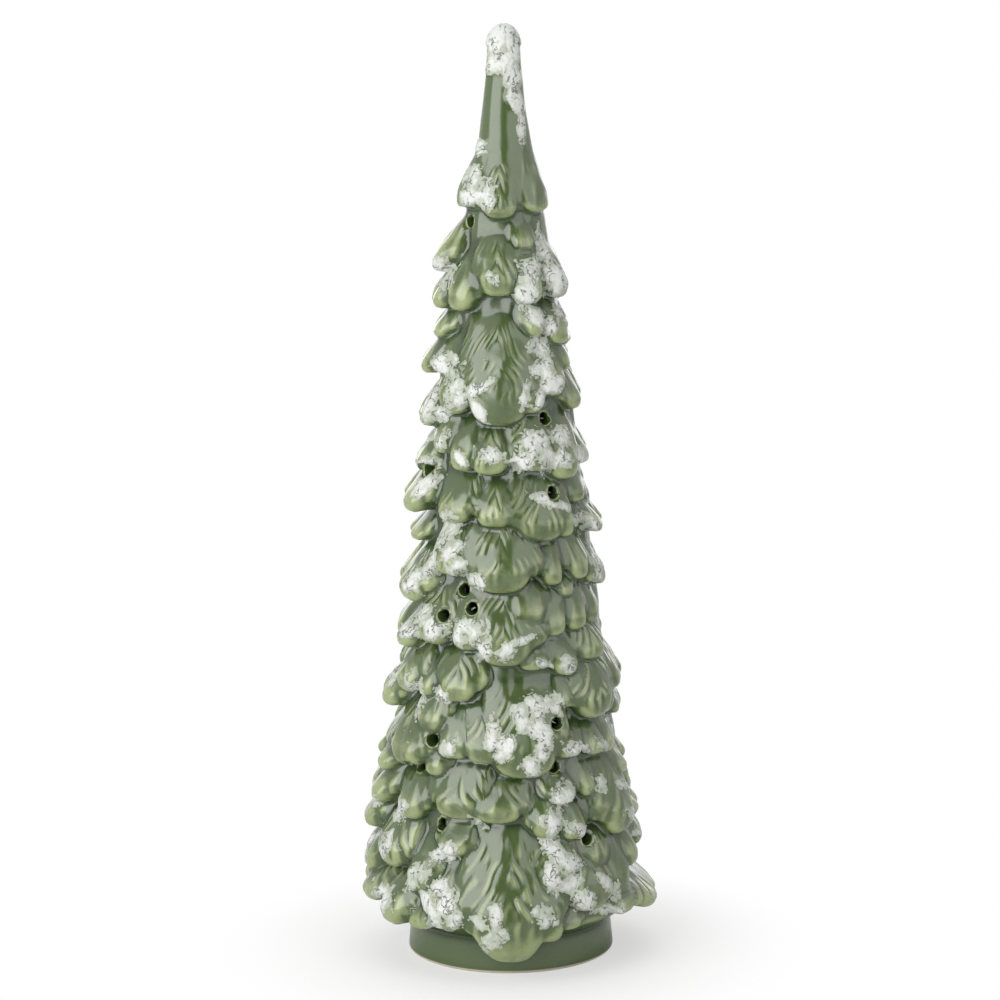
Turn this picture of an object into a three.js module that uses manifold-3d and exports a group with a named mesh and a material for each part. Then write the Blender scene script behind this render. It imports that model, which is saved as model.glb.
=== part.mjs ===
// A glazed stoneware fir tree, pierced with light holes and lit from inside by a battery LED unit
// that plugs into the bore of its foot.
// Millimetres, +Z up, the middle of the foot's underside at the origin, the front towards -Y.
import * as THREE from "three";
import { mergeVertices } from "three/addons/utils/BufferGeometryUtils.js";
import Module from "manifold-3d";

const wasm = await Module();
wasm.setup();

// Gaps
const SEAT_GAP = 0.3; // between pieces that touch
const HINGE_GAP = 0.3; // round the door's pins, and at the door's edges

// Battery cells, size AAA
const CELL_RADIUS = 5.25;
const CELL_LENGTH = 44.5; // over the nub
const CELL_PITCH = 11;
const NUB_RADIUS = 1.9;
const NUB_HEIGHT = 1.1;

// Contacts
const CONTACT_THICKNESS = 0.4;
const CONTACT_WIDTH = 7.4;
const CONTACT_HEIGHT = 8.6;
const DIMPLE_RADIUS = 1.6;
const DIMPLE_HEIGHT = 0.6;
const SPRING_LENGTH = 4.4;
const SPRING_FOOT_RADIUS = 3.2;
const SPRING_TIP_RADIUS = 2.1;
const SPRING_TURNS = 3.5;
const SPRING_WIRE_RADIUS = 0.3;
const TAB_WIDTH = 2.2;
const TAB_RISE = 1.6; // of the solder tabs above the tray's roof

// Base tray: the flange that closes the foot, with the cell bay on top
const UNIT_RECESS = 3.5; // from the foot's underside to the flange
const FLANGE_THICKNESS = 2.5;
const FLANGE_CLEARANCE = 2; // from the flange's rim to the bore
const TRAY_WALL = 1.6;
const CELL_ROOM = 0.45; // beside and above the cells
const RIM_CHAMFER = 0.6;

// Battery door
const KNUCKLE_RADIUS = 1.7;
const PIN_RADIUS = 0.8;
const PIN_LENGTH = 1.1;
const DOOR_THICKNESS = 2;
const DOOR_RIB_HEIGHT = 1;
const THUMB_RADIUS = 5; // of the scoop that a fingertip lifts the door by
const THUMB_DEPTH = 1.2;
const GRIP_RIBS = 5;
const GRIP_PITCH = 1.8;

// Slide switch
const SWITCH_BODY = { x: 7, y: 13.4, z: 5 };
const SWITCH_WALL = 0.9;
const SWITCH_STEP = 2.5; // from off to on, and from off to timer
const KNOB = { x: 2.6, y: 3 };
const KNOB_RECESS = 1.2; // from the foot's underside to the knob's end
const CARRIAGE = { x: 4.2, y: 4.4, z: 1.6 };
const SWITCH_STANDOFF = 2.6; // from the tray's wall to the switch

// Circuit board and what is on it
const BOARD = { x: 22, y: 40, z: 1.2 };
const POST_HEIGHT = 2.4;
const POST_RADIUS = 2.6;
const POST_INSET = 3.6; // from the board's end to its screw
const BOARD_SCREW = { shank: 0.8, length: 3.4, head: 1.8, headHeight: 1.1 };
const LED_RADIUS = 2.5;
const LED_RIM_RADIUS = 2.9;
const LED_RIM_HEIGHT = 1;
const LED_LENGTH = 8.7;
const LED_CIRCLE_RADIUS = 5.4;
const LED_PROUD = 2.2; // above the cover
const LED_COUNT = 3;
const CHIP = { x: 5, y: 4, z: 1.6 };
const CHIP_LEG = { x: 0.9, y: 0.45, z: 0.5 };
const CHIP_LEGS_A_SIDE = 4;
const CHIP_LEG_PITCH = 1;
const CAPACITOR_RADIUS = 2.4;
const CAPACITOR_HEIGHT = 3.6;
const RESISTOR_RADIUS = 1;
const RESISTOR_LENGTH = 5.6;
const WIRE_RADIUS = 0.6;

// Unit cover
const COVER_WALL = 1.8;
const COVER_GAP = 0.6; // from the tray's corners to the cover
const COVER_EDGE = 1.5; // radius of its top edge
const COVER_POST_RADIUS = 3.2;
const COVER_POST_ANGLES = [45, -45, 180];
const COVER_SCREW = { shank: 1.2, length: 11, head: 2.6, headHeight: 1.2 };

// Seal ring
const SEAL_DEPTH = 3.4; // from the cover to the bore
const SEAL_BAND = 1.2;
const SEAL_HEIGHT = 9;
const SEAL_FINS = 3;

// Stoneware tree
const TREE_HEIGHT = 380;
const SPIRE_SHARE = 0.81; // how far up the boughs give way to the spire
const SKIRT_HEIGHT = 22; // where the cone starts, above the foot
const SKIRT_RADIUS = 50;
const CROWN_RADIUS = 15.5; // of the bare cone, under the spire
const SPIRE_BASE_RADIUS = 17.2;
const CONE_BULGE = 1.6;
const SPIRE_TIP_RADIUS = 6.6;
const SPIRE_NOSE = 9; // height of the spire's rounded end
const SPIRE_WAIST = 2; // how hard the spire draws in
const FOOT_WALL = 6.5;
const FOOT_HEIGHT = 13;
const FOOT_EDGE = 2.5; // radius of its lower edge
const FOOT_TAPER = 1.2;
const SHELL_WALL = 5;
const CAVITY_TOP_SHARE = 0.9;
const CAVITY_TIP_RADIUS = 2.2;
const SHOULDER_HEIGHT = 14; // from the bore's top to the full cavity
const HOLE_RADIUS = 2.5;
const BOUGH_DROOP = 0.3; // mm down for each mm that a bough stands proud
const BOUGH_NOSE = 0.3; // share of a bough's length that is its rounded tip
const BOUGH_ROOT = 0.5; // share of its width that is left at its root
const UNION_POWER = 8; // how crisply neighbouring boughs meet
const SEAM_AZIMUTH = 68; // boughs further round than this lie beside the mould's seams
const SURFACE_PITCH = 5.4; // around, between neighbouring points
const RING_PITCH = 4.5; // up, between neighbouring rings
const ROUND_SIDES = 32; // of the foot's bore and what fits in it

// The boughs of the front half, tier by tier from the skirt up. A tier has its share of the tree's
// height, and each bough [azimuth in degrees, tip above the tier, width, length, lift].
const TIERS = [
  [0.053, [
    [0, -11, 36, 54, 10], [-28, 1, 22, 26, 8.5], [17, -3, 13, 20, 7], [38, 7, 24, 26, 8.5],
    [-57, 2, 17, 22, 11], [-76, 1, 20, 22, 12], [78, 3, 25, 26, 11.5], [58, 2, 16, 18, 8],
    [-43, -1, 14, 16, 7], [27, 0, 12, 12, 4.5],
  ]],
  [0.105, [
    [-63, 2, 22, 26, 11], [-27, 11, 14, 14, 5.5], [20, -3, 19, 24, 8], [-43, -6, 14, 24, 8],
    [44, 4, 14, 16, 6], [56, -10, 15, 28, 8], [67, 0, 12, 20, 8], [-81, -4, 16, 18, 9.5],
    [84, 2, 12, 18, 7],
  ]],
  [0.163, [
    [-26, 4, 22, 22, 7], [-6, 3, 21, 18, 6.5], [-53, 1, 16, 22, 8.5], [-72, 4, 16, 20, 11],
    [26, 10, 13, 12, 6], [17, -3, 13, 18, 7], [41, 11, 9, 14, 5.5], [31, -5, 12, 16, 6.5],
    [60, -7, 23, 32, 9.5], [80, 0, 14, 20, 8], [46, 0, 10, 16, 5], [-88, -5, 16, 20, 11],
  ]],
  [0.232, [
    [8, -5, 30, 38, 9], [-11, 1, 20, 24, 8], [-28, 2, 16, 22, 7.5], [-57, -4, 24, 28, 11],
    [-39, -6, 10, 16, 6.5], [30, 2, 13, 14, 7], [47, 1, 11, 14, 6.5], [58, 0, 11, 16, 6],
    [68, -10, 13, 18, 6.5], [-82, 4, 15, 18, 10], [-75, -8, 14, 16, 10], [83, 4, 14, 18, 6],
  ]],
  [0.289, [
    [-62, 4, 17, 22, 10], [-28, 3, 17, 22, 7.5], [-47, 4, 10, 16, 7.5], [-80, 0, 16, 18, 10.5],
    [34, 0, 11, 14, 5.5], [51, -6, 22, 28, 8.5], [68, -7, 12, 18, 4], [-43, -10, 14, 20, 8],
  ]],
  [0.321, [
    [53, 5, 17, 16, 6.5], [77, -5, 18, 32, 6.5], [14, 4, 13, 12, 5.5], [33, 1, 13, 16, 6],
    [43, -3, 9, 12, 5],
  ]],
  [0.361, [
    [12, 7, 15, 18, 7], [-2, -9, 26, 32, 9], [-23, -3, 14, 24, 8], [-44, -2, 17, 24, 9.5],
    [-66, -4, 14, 18, 11], [27, 2, 12, 20, 6.5], [43, 3, 12, 18, 6], [60, 4, 12, 14, 4],
    [-84, -3, 12, 16, 9.5],
  ]],
  [0.416, [
    [-4, -1, 26, 30, 9], [28, 1, 10, 18, 6], [-36, 5, 17, 20, 8], [-64, -3, 19, 24, 11.5],
    [49, 2, 12, 18, 6], [64, -1, 11, 16, 4.5], [37, -4, 8, 10, 4.5], [82, 2, 12, 18, 5],
    [15, 5, 9, 16, 5.5],
  ]],
  [0.479, [
    [-8, 1, 17, 18, 7], [22, -5, 24, 26, 8], [39, -4, 9, 20, 7], [-36, 2, 18, 20, 7.5],
    [-63, 6, 16, 20, 11], [58, 8, 13, 14, 4], [67, -4, 12, 14, 5.5], [-76, -7, 14, 12, 9],
    [84, 4, 12, 16, 5],
  ]],
  [0.542, [
    [-50, 5, 12, 20, 8], [-32, -1, 14, 22, 8], [-12, -2, 17, 20, 8], [3, 3, 9, 14, 6],
    [20, -1, 18, 24, 8], [43, -5, 16, 26, 8.5], [68, 0, 14, 22, 6.5], [-75, -2, 13, 16, 9.5],
  ]],
  [0.6, [
    [-6, -5, 30, 44, 9], [-44, -1, 17, 28, 9], [-72, -6, 15, 26, 11], [19, 0, 12, 20, 7.5],
    [39, 6, 13, 24, 8], [67, 3, 13, 20, 6],
  ]],
  [0.642, [
    [-80, -2, 14, 18, 10.5], [54, -1, 10, 14, 6], [-59, -1, 13, 16, 8.5],
  ]],
  [0.674, [
    [53, -2, 13, 18, 7], [27, 2, 10, 14, 6], [-74, 2, 12, 12, 7.5], [81, -6, 12, 14, 4],
  ]],
  [0.721, [
    [-8, 0, 18, 24, 7.5], [-46, -6, 15, 24, 8.5], [-80, 9, 13, 18, 11.5], [22, -3, 14, 24, 7.5],
    [63, -2, 14, 22, 7], [-26, 4, 10, 16, 5], [22, 17, 9, 12, 3.5], [-77, -6, 13, 18, 9.5],
  ]],
  [0.805, [
    [-8, -2, 17, 26, 2.8], [48, 0, 16, 24, 2.8], [-62, 2, 15, 22, 4.5],
  ]],
];

// The light holes of the front half: [azimuth in degrees, share of the tree's height].
const HOLES = [
  [-57, 0.795], [32, 0.591], [-67, 0.532], [32, 0.514], [-29, 0.412], [-37, 0.386],
  [-21, 0.395], [-72, 0.326], [24, 0.274], [-40, 0.253], [-52, 0.22], [24, 0.225],
  [-36, 0.162], [39, 0.145],
];

// Sizes that follow from those above

const BAY = {
  x: CELL_PITCH / 2 + CELL_RADIUS + CELL_ROOM,
  y: (CELL_LENGTH + SPRING_LENGTH + 2 * CONTACT_THICKNESS + DIMPLE_HEIGHT + 4 * SEAT_GAP) / 2,
};
const TRAY = { x: BAY.x + TRAY_WALL, y: BAY.y + TRAY_WALL };
const COVER_BORE = Math.hypot(TRAY.x, TRAY.y) + COVER_GAP;
const COVER_RADIUS = COVER_BORE + COVER_WALL;
const BORE_RADIUS = COVER_RADIUS + SEAL_DEPTH;
const FOOT_RADIUS = BORE_RADIUS + FOOT_WALL;
const FLANGE_RADIUS = BORE_RADIUS - FLANGE_CLEARANCE;
const FLANGE_TOP = UNIT_RECESS + FLANGE_THICKNESS;
const HINGE = { y: -BAY.y + HINGE_GAP + KNUCKLE_RADIUS, z: UNIT_RECESS + KNUCKLE_RADIUS };
const CELL_Z = HINGE.z + KNUCKLE_RADIUS + CELL_ROOM + CELL_RADIUS;
const CELL_SHIFT = (SPRING_LENGTH - DIMPLE_HEIGHT) / 2; // towards each cell's positive contact
const BAY_TOP = CELL_Z + CELL_RADIUS + CELL_ROOM;
const ROOF_TOP = BAY_TOP + TRAY_WALL;
const POST_TOP = ROOF_TOP + POST_HEIGHT;
const BOARD_BOTTOM = POST_TOP + SEAT_GAP;
const BOARD_TOP = BOARD_BOTTOM + BOARD.z;
const POST_Y = BOARD.y / 2 - POST_INSET;
const LED_BOTTOM = BOARD_TOP + SEAT_GAP;
const COVER_TOP = LED_BOTTOM + LED_LENGTH - LED_PROUD;
const COVER_BOTTOM = FLANGE_TOP + SEAT_GAP;
const COVER_POST_CIRCLE = COVER_BORE - COVER_POST_RADIUS + COVER_WALL / 4;
const SWITCH_X = TRAY.x + SWITCH_STANDOFF + SWITCH_BODY.x / 2;
const BORE_TOP = COVER_TOP + SEAT_GAP;
const CONTACT_Z = CELL_Z - CONTACT_HEIGHT / 2;

// Helpers

const radians = (degrees) => (degrees * Math.PI) / 180;

// A closed three.js geometry as a manifold-3d solid.
function solidOf(geometry) {
  const bare = geometry.clone();
  bare.deleteAttribute("normal");
  bare.deleteAttribute("uv");
  const merged = mergeVertices(bare, 1e-4);
  return new wasm.Manifold(
    new wasm.Mesh({
      numProp: 3,
      vertProperties: merged.attributes.position.array,
      triVerts: new Uint32Array(merged.index.array),
    }),
  );
}

// A manifold-3d solid as a three.js geometry.
function geometryOf(solid) {
  const mesh = solid.getMesh();
  const positions = new Float32Array(mesh.numVert * 3);
  for (let i = 0; i < mesh.numVert; i++)
    positions.set(mesh.vertProperties.subarray(i * mesh.numProp, i * mesh.numProp + 3), i * 3);
  const geometry = new THREE.BufferGeometry();
  geometry.setAttribute("position", new THREE.BufferAttribute(positions, 3));
  geometry.setIndex(new THREE.BufferAttribute(mesh.triVerts, 1));
  const facets = geometry.toNonIndexed();
  facets.computeVertexNormals();
  return facets;
}

// A box between two corners.
function block(low, high) {
  const size = high.map((value, i) => value - low[i]);
  const geometry = new THREE.BoxGeometry(...size);
  return solidOf(geometry.translate(...low.map((value, i) => value + size[i] / 2)));
}

// A box standing on a height, centred on x and y.
const blockOn = (x, y, bottom, size) =>
  block([x - size.x / 2, y - size.y / 2, bottom], [x + size.x / 2, y + size.y / 2, bottom + size.z]);

// A solid of revolution about +Z, from a profile of [radius, height] points.
function revolved(profile, sides) {
  const points = profile.map(([radius, height]) => new THREE.Vector2(radius, height));
  return solidOf(new THREE.LatheGeometry(points, sides).rotateX(Math.PI / 2));
}

// An upright cylinder between two heights.
const upright = (radius, bottom, top, sides = 24) =>
  revolved([[0, bottom], [radius, bottom], [radius, top], [0, top]], sides);

const moved = (solid, x, y, z = 0) => solid.translate([x, y, z]);

// A round tube of one radius along a curve.
function tube(curve, radius, sides, steps) {
  const section = new THREE.Shape();
  for (let i = 0; i < sides; i++) {
    const angle = (i / sides) * 2 * Math.PI;
    section[i ? "lineTo" : "moveTo"](radius * Math.cos(angle), radius * Math.sin(angle));
  }
  section.closePath();
  return solidOf(
    new THREE.ExtrudeGeometry(section, { steps, extrudePath: curve, bevelEnabled: false }),
  );
}

// Stoneware tree

// The bare cone that the boughs grow from, carried on below the skirt.
function coneRadius(height) {
  const share = (height - SKIRT_HEIGHT) / (TREE_HEIGHT * SPIRE_SHARE - SKIRT_HEIGHT);
  const bulge = 4 * CONE_BULGE * share * (1 - share);
  return SKIRT_RADIUS + (CROWN_RADIUS - SKIRT_RADIUS) * share + bulge;
}

// The spire: it draws in from the crown, and ends in a round nose.
function spireRadius(height) {
  const start = TREE_HEIGHT * SPIRE_SHARE;
  const share = Math.min(1, (height - start) / (TREE_HEIGHT - start));
  const body =
    SPIRE_TIP_RADIUS + (SPIRE_BASE_RADIUS - SPIRE_TIP_RADIUS) * Math.pow(1 - share, SPIRE_WAIST);
  const nose = Math.max(0, (height - (TREE_HEIGHT - SPIRE_NOSE)) / SPIRE_NOSE);
  return body * Math.sqrt(Math.max(0, 1 - nose * nose));
}

// The tree without its boughs: foot, cone and spire.
function bareRadius(height) {
  if (height > TREE_HEIGHT * SPIRE_SHARE) return spireRadius(height);
  if (height >= SKIRT_HEIGHT) return coneRadius(height);
  const edge = Math.max(0, 1 - height / FOOT_EDGE);
  const foot =
    FOOT_RADIUS -
    FOOT_TAPER * Math.min(1, height / FOOT_HEIGHT) -
    FOOT_EDGE * (1 - Math.sqrt(1 - edge * edge));
  const flare = Math.max(0, (height - FOOT_HEIGHT) / (SKIRT_HEIGHT - FOOT_HEIGHT));
  return foot + (coneRadius(height) - foot) * flare * flare * (3 - 2 * flare);
}

// The back of the mould repeats the front, turned half a turn, except that the boughs beside the
// seams at its two sides are mirrored in them.
const behind = (azimuth) => (Math.abs(azimuth) > SEAM_AZIMUTH ? 180 - azimuth : azimuth + 180);

const BOUGHS = TIERS.flatMap(([share, boughs]) =>
  boughs.flatMap(([azimuth, above, width, length, lift]) =>
    [azimuth, behind(azimuth)].map((turned) => {
      const tip = share * TREE_HEIGHT + above;
      const reach = coneRadius(tip) + lift / 2;
      return { azimuth: radians(turned), tip, width, length, lift, reach, onSpire: share > SPIRE_SHARE - 0.01 };
    }),
  ),
);

// How far one bough stands proud of the bare tree: a ramp from its root down to a domed tip.
function boughLift(bough, azimuth, height) {
  const along = (height - bough.tip) / bough.length;
  if (along <= 0 || along >= 1) return 0;
  const turn = Math.atan2(Math.sin(azimuth - bough.azimuth), Math.cos(azimuth - bough.azimuth));
  const across = (turn * bough.reach) / (bough.width / 2);
  if (Math.abs(turn) > Math.PI / 2 || Math.abs(across) >= 1) return 0;
  const up = Math.max(0, (along - BOUGH_NOSE) / (1 - BOUGH_NOSE));
  const nose = Math.max(0, 1 - along / BOUGH_NOSE);
  const side = across / (1 - (1 - BOUGH_ROOT) * up);
  const dome = Math.sqrt(Math.max(0, 1 - nose * nose - side * side));
  const carrier = bough.onSpire ? Math.max(SPIRE_BASE_RADIUS, coneRadius(height)) : coneRadius(height);
  const under = height < TREE_HEIGHT * SPIRE_SHARE ? carrier - bareRadius(height) : 0;
  return (under + bough.lift * (1 - up)) * dome;
}

function boughsLift(azimuth, height) {
  let sum = 0;
  for (const bough of BOUGHS) {
    const lift = boughLift(bough, azimuth, height);
    if (lift > 0) sum += Math.pow(lift, UNION_POWER);
  }
  return Math.pow(sum, 1 / UNION_POWER);
}

// A ring of points round the axis, each placed by a rule of its azimuth.
function ring(count, phase, place) {
  return Array.from({ length: count }, (_, i) => {
    const turn = (i + phase) / count;
    return { turn, point: place(turn * 2 * Math.PI) };
  });
}

const plainRing = (count, radius, height) =>
  ring(count, 0, (azimuth) => [radius * Math.sin(azimuth), -radius * Math.cos(azimuth), height]);

// Rings of any counts, from the tree's tip down its outside and up its inside, as a closed surface.
function skinned(rings) {
  const points = [];
  const triangles = [];
  const numbered = rings.map((members) =>
    members.map(({ turn, point }) => ({ turn, index: points.push(point) - 1 })),
  );
  for (let r = 0; r + 1 < numbered.length; r++) {
    const upper = numbered[r];
    const lower = numbered[r + 1];
    const at = (members, i) => members[i % members.length].index;
    const turnOf = (members, i) =>
      members[i % members.length].turn + Math.floor(i / members.length);
    let u = 0;
    let l = 0;
    while (u < upper.length || l < lower.length) {
      const stepUpper =
        upper.length > 1 &&
        u < upper.length &&
        (l >= lower.length || lower.length === 1 || turnOf(upper, u + 1) < turnOf(lower, l + 1));
      if (stepUpper) {
        triangles.push(at(upper, u), at(lower, l), at(upper, u + 1));
        u += 1;
      } else if (lower.length > 1) {
        triangles.push(at(upper, u), at(lower, l), at(lower, l + 1));
        l += 1;
      } else break;
      if (upper.length === 1 && l >= lower.length) break;
    }
  }
  const geometry = new THREE.BufferGeometry();
  geometry.setAttribute("position", new THREE.Float32BufferAttribute(points.flat(), 3));
  geometry.setIndex(triangles);
  return solidOf(geometry);
}

function outerRings() {
  const rings = [ring(1, 0, () => [0, 0, TREE_HEIGHT])];
  const levels = Math.round((TREE_HEIGHT - FOOT_EDGE) / RING_PITCH);
  for (let level = 0; level <= levels; level++) {
    const fall = level / levels;
    // the first ring lies just under the tip, so that the nose is round
    const height = TREE_HEIGHT - 0.6 - (TREE_HEIGHT - 0.6 - FOOT_EDGE) * fall;
    const around = 2 * Math.PI * (bareRadius(height) + 3);
    const count = Math.max(12, 2 * Math.round(around / SURFACE_PITCH / 2));
    rings.push(
      ring(count, (level % 2) / 2, (azimuth) => {
        const lift = boughsLift(azimuth, height);
        const radius = bareRadius(height) + lift;
        return [
          radius * Math.sin(azimuth),
          -radius * Math.cos(azimuth),
          height - BOUGH_DROOP * lift,
        ];
      }),
    );
  }
  for (const share of [0.29, 0]) {
    const height = FOOT_EDGE * share;
    rings.push(plainRing(ROUND_SIDES * 2, bareRadius(height), height));
  }
  return rings;
}

function innerRings() {
  const cavityTop = TREE_HEIGHT * CAVITY_TOP_SHARE;
  const shoulder = BORE_TOP + SHOULDER_HEIGHT;
  const rings = [plainRing(ROUND_SIDES, BORE_RADIUS, 0), plainRing(ROUND_SIDES, BORE_RADIUS, BORE_TOP)];
  const levels = 12;
  for (let level = 0; level <= levels; level++) {
    const height = shoulder + ((cavityTop - shoulder) * level) / levels;
    const radius = Math.max(CAVITY_TIP_RADIUS, bareRadius(height) - SHELL_WALL);
    rings.push(plainRing(level < levels / 2 ? ROUND_SIDES : ROUND_SIDES / 2, radius, height));
  }
  rings.push(ring(1, 0, () => [0, 0, cavityTop + CAVITY_TIP_RADIUS]));
  return rings;
}

function lightHole(azimuth, share) {
  const height = share * TREE_HEIGHT;
  const inside = (bareRadius(height) - SHELL_WALL) / 2;
  const outside = coneRadius(height) + 3 * SHELL_WALL;
  return upright(HOLE_RADIUS, inside, outside, 8)
    .rotate([90, 0, azimuth])
    .translate([0, 0, height]);
}

function treeShell() {
  const body = skinned([...outerRings(), ...innerRings()]);
  const holes = HOLES.flatMap(([azimuth, share]) => [
    lightHole(azimuth, share),
    lightHole(azimuth + 180, share),
  ]);
  return body.subtract(wasm.Manifold.union(holes));
}

// Light unit

// Where the light unit's three screws stand: [x, y].
const COVER_POSTS = COVER_POST_ANGLES.map((angle) => [
  COVER_POST_CIRCLE * Math.cos(radians(angle)),
  COVER_POST_CIRCLE * Math.sin(radians(angle)),
]);
const BOARD_POSTS = [
  [0, -POST_Y],
  [0, POST_Y],
];
const SCREW_HEAD_BOTTOM = UNIT_RECESS + 0.2;
const SCREW_SEAT = SCREW_HEAD_BOTTOM + COVER_SCREW.headHeight + SEAT_GAP;

function baseTray() {
  const flange = revolved(
    [
      [0, UNIT_RECESS],
      [FLANGE_RADIUS - RIM_CHAMFER, UNIT_RECESS],
      [FLANGE_RADIUS, UNIT_RECESS + RIM_CHAMFER],
      [FLANGE_RADIUS, FLANGE_TOP],
      [0, FLANGE_TOP],
    ],
    ROUND_SIDES,
  );
  let tray = flange
    .add(block([-TRAY.x, -TRAY.y, UNIT_RECESS + RIM_CHAMFER], [TRAY.x, TRAY.y, ROOF_TOP]))
    .subtract(block([-BAY.x, -BAY.y, 0], [BAY.x, BAY.y, BAY_TOP]));
  for (const [x, y] of BOARD_POSTS) {
    const post = upright(POST_RADIUS, BAY_TOP + TRAY_WALL / 2, POST_TOP, 12);
    const pilot = upright(BOARD_SCREW.shank + SEAT_GAP, ROOF_TOP - TRAY_WALL / 2, POST_TOP + 1, 8);
    tray = tray.add(moved(post, x, y)).subtract(moved(pilot, x, y));
  }
  for (const [x, y] of COVER_POSTS) {
    const through = upright(COVER_SCREW.shank + SEAT_GAP, 0, FLANGE_TOP + 1, 8);
    const recess = upright(COVER_SCREW.head + SEAT_GAP, 0, SCREW_SEAT, 12);
    tray = tray.subtract(moved(through.add(recess), x, y));
  }
  const pinHole = upright(PIN_RADIUS + HINGE_GAP, -BAY.x - PIN_LENGTH, BAY.x + PIN_LENGTH, 12);
  const slot = {
    x: KNOB.x + 2 * HINGE_GAP,
    y: KNOB.y + 2 * (SWITCH_STEP + HINGE_GAP),
    z: 3 * FLANGE_THICKNESS,
  };
  const tabSlot = { x: TAB_WIDTH + 2 * SEAT_GAP, y: CONTACT_THICKNESS + 3 * SEAT_GAP, z: 3 * TRAY_WALL };
  const scoop = upright(THUMB_RADIUS, 0, UNIT_RECESS + THUMB_DEPTH, 20);
  tray = tray
    .subtract(pinHole.rotate([0, 90, 0]).translate([0, HINGE.y, HINGE.z]))
    .subtract(blockOn(SWITCH_X, 0, UNIT_RECESS - FLANGE_THICKNESS, slot))
    .subtract(moved(scoop, 0, BAY.y - THUMB_RADIUS / 3));
  for (const x of [-CELL_PITCH / 2, CELL_PITCH / 2])
    tray = tray.subtract(blockOn(x, BAY.y - tabSlot.y / 2, BAY_TOP - TRAY_WALL, tabSlot));
  return tray;
}

function batteryDoor() {
  const edge = BAY.x - HINGE_GAP;
  const end = BAY.y - HINGE_GAP;
  const knuckle = upright(KNUCKLE_RADIUS, -edge, edge, 16).rotate([0, 90, 0]);
  const pins = upright(PIN_RADIUS, -edge - PIN_LENGTH, edge + PIN_LENGTH, 12).rotate([0, 90, 0]);
  const top = UNIT_RECESS + DOOR_THICKNESS;
  let door = block([-edge, HINGE.y, UNIT_RECESS], [edge, end, top])
    .add(knuckle.add(pins).translate([0, HINGE.y, HINGE.z]))
    .subtract(moved(upright(THUMB_RADIUS, 0, UNIT_RECESS + THUMB_DEPTH, 20), 0, end - THUMB_RADIUS / 3));
  for (const x of [-edge + DOOR_THICKNESS, 0, edge - DOOR_THICKNESS]) {
    const rib = { x: DOOR_RIB_HEIGHT, y: end - HINGE.y - 4 * KNUCKLE_RADIUS, z: DOOR_RIB_HEIGHT + 0.2 };
    door = door.add(blockOn(x, (end + HINGE.y) / 2, top - 0.2, rib));
  }
  for (let i = 0; i < GRIP_RIBS; i++) {
    const y = end - 2 * THUMB_RADIUS - i * GRIP_PITCH;
    const groove = { x: edge, y: GRIP_PITCH / 3, z: 2 * RIM_CHAMFER };
    door = door.subtract(blockOn(0, y, UNIT_RECESS - RIM_CHAMFER, groove));
  }
  return door;
}

// A cell along +Y, its nub at the far end, centred on its length.
function cell() {
  const half = CELL_LENGTH / 2;
  const round = CELL_RADIUS / 8;
  const shoulder = half - NUB_HEIGHT;
  return revolved(
    [
      [0, -half],
      [CELL_RADIUS - round, -half],
      [CELL_RADIUS, -half + round],
      [CELL_RADIUS, shoulder - round],
      [CELL_RADIUS - round, shoulder],
      [NUB_RADIUS, shoulder],
      [NUB_RADIUS, half],
      [0, half],
    ],
    18,
  ).rotate([-90, 0, 0]);
}

// A tapering spring along +Z, wound from its foot plate.
class SpringCurve extends THREE.Curve {
  getPoint(share) {
    const angle = 2 * Math.PI * SPRING_TURNS * share;
    const radius = SPRING_FOOT_RADIUS + (SPRING_TIP_RADIUS - SPRING_FOOT_RADIUS) * share;
    const climb = SPRING_LENGTH - SPRING_WIRE_RADIUS;
    return new THREE.Vector3(radius * Math.cos(angle), radius * Math.sin(angle), climb * share);
  }
}

function spring() {
  const steps = Math.round(8 * SPRING_TURNS);
  return tube(new SpringCurve(), SPRING_WIRE_RADIUS, 5, steps);
}

// A contact plate with its back on y = 0 and facing -Y, from x = 0, and what it touches cells with.
function contact(width, springs, dimples, tab) {
  let plate = block([-width / 2, -CONTACT_THICKNESS, CONTACT_Z], [width / 2, 0, CONTACT_Z + CONTACT_HEIGHT]);
  for (const x of springs)
    plate = plate.add(spring().rotate([90, 0, 0]).translate([x, -CONTACT_THICKNESS / 2, CELL_Z]));
  for (const x of dimples) {
    const bump = upright(DIMPLE_RADIUS, 0, CONTACT_THICKNESS + DIMPLE_HEIGHT, 12);
    plate = plate.add(bump.rotate([90, 0, 0]).translate([x, 0, CELL_Z]));
  }
  if (tab) {
    const half = TAB_WIDTH / 2;
    plate = plate.add(block([-half, -CONTACT_THICKNESS, CELL_Z], [half, 0, ROOF_TOP + TAB_RISE]));
  }
  return plate;
}

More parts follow.
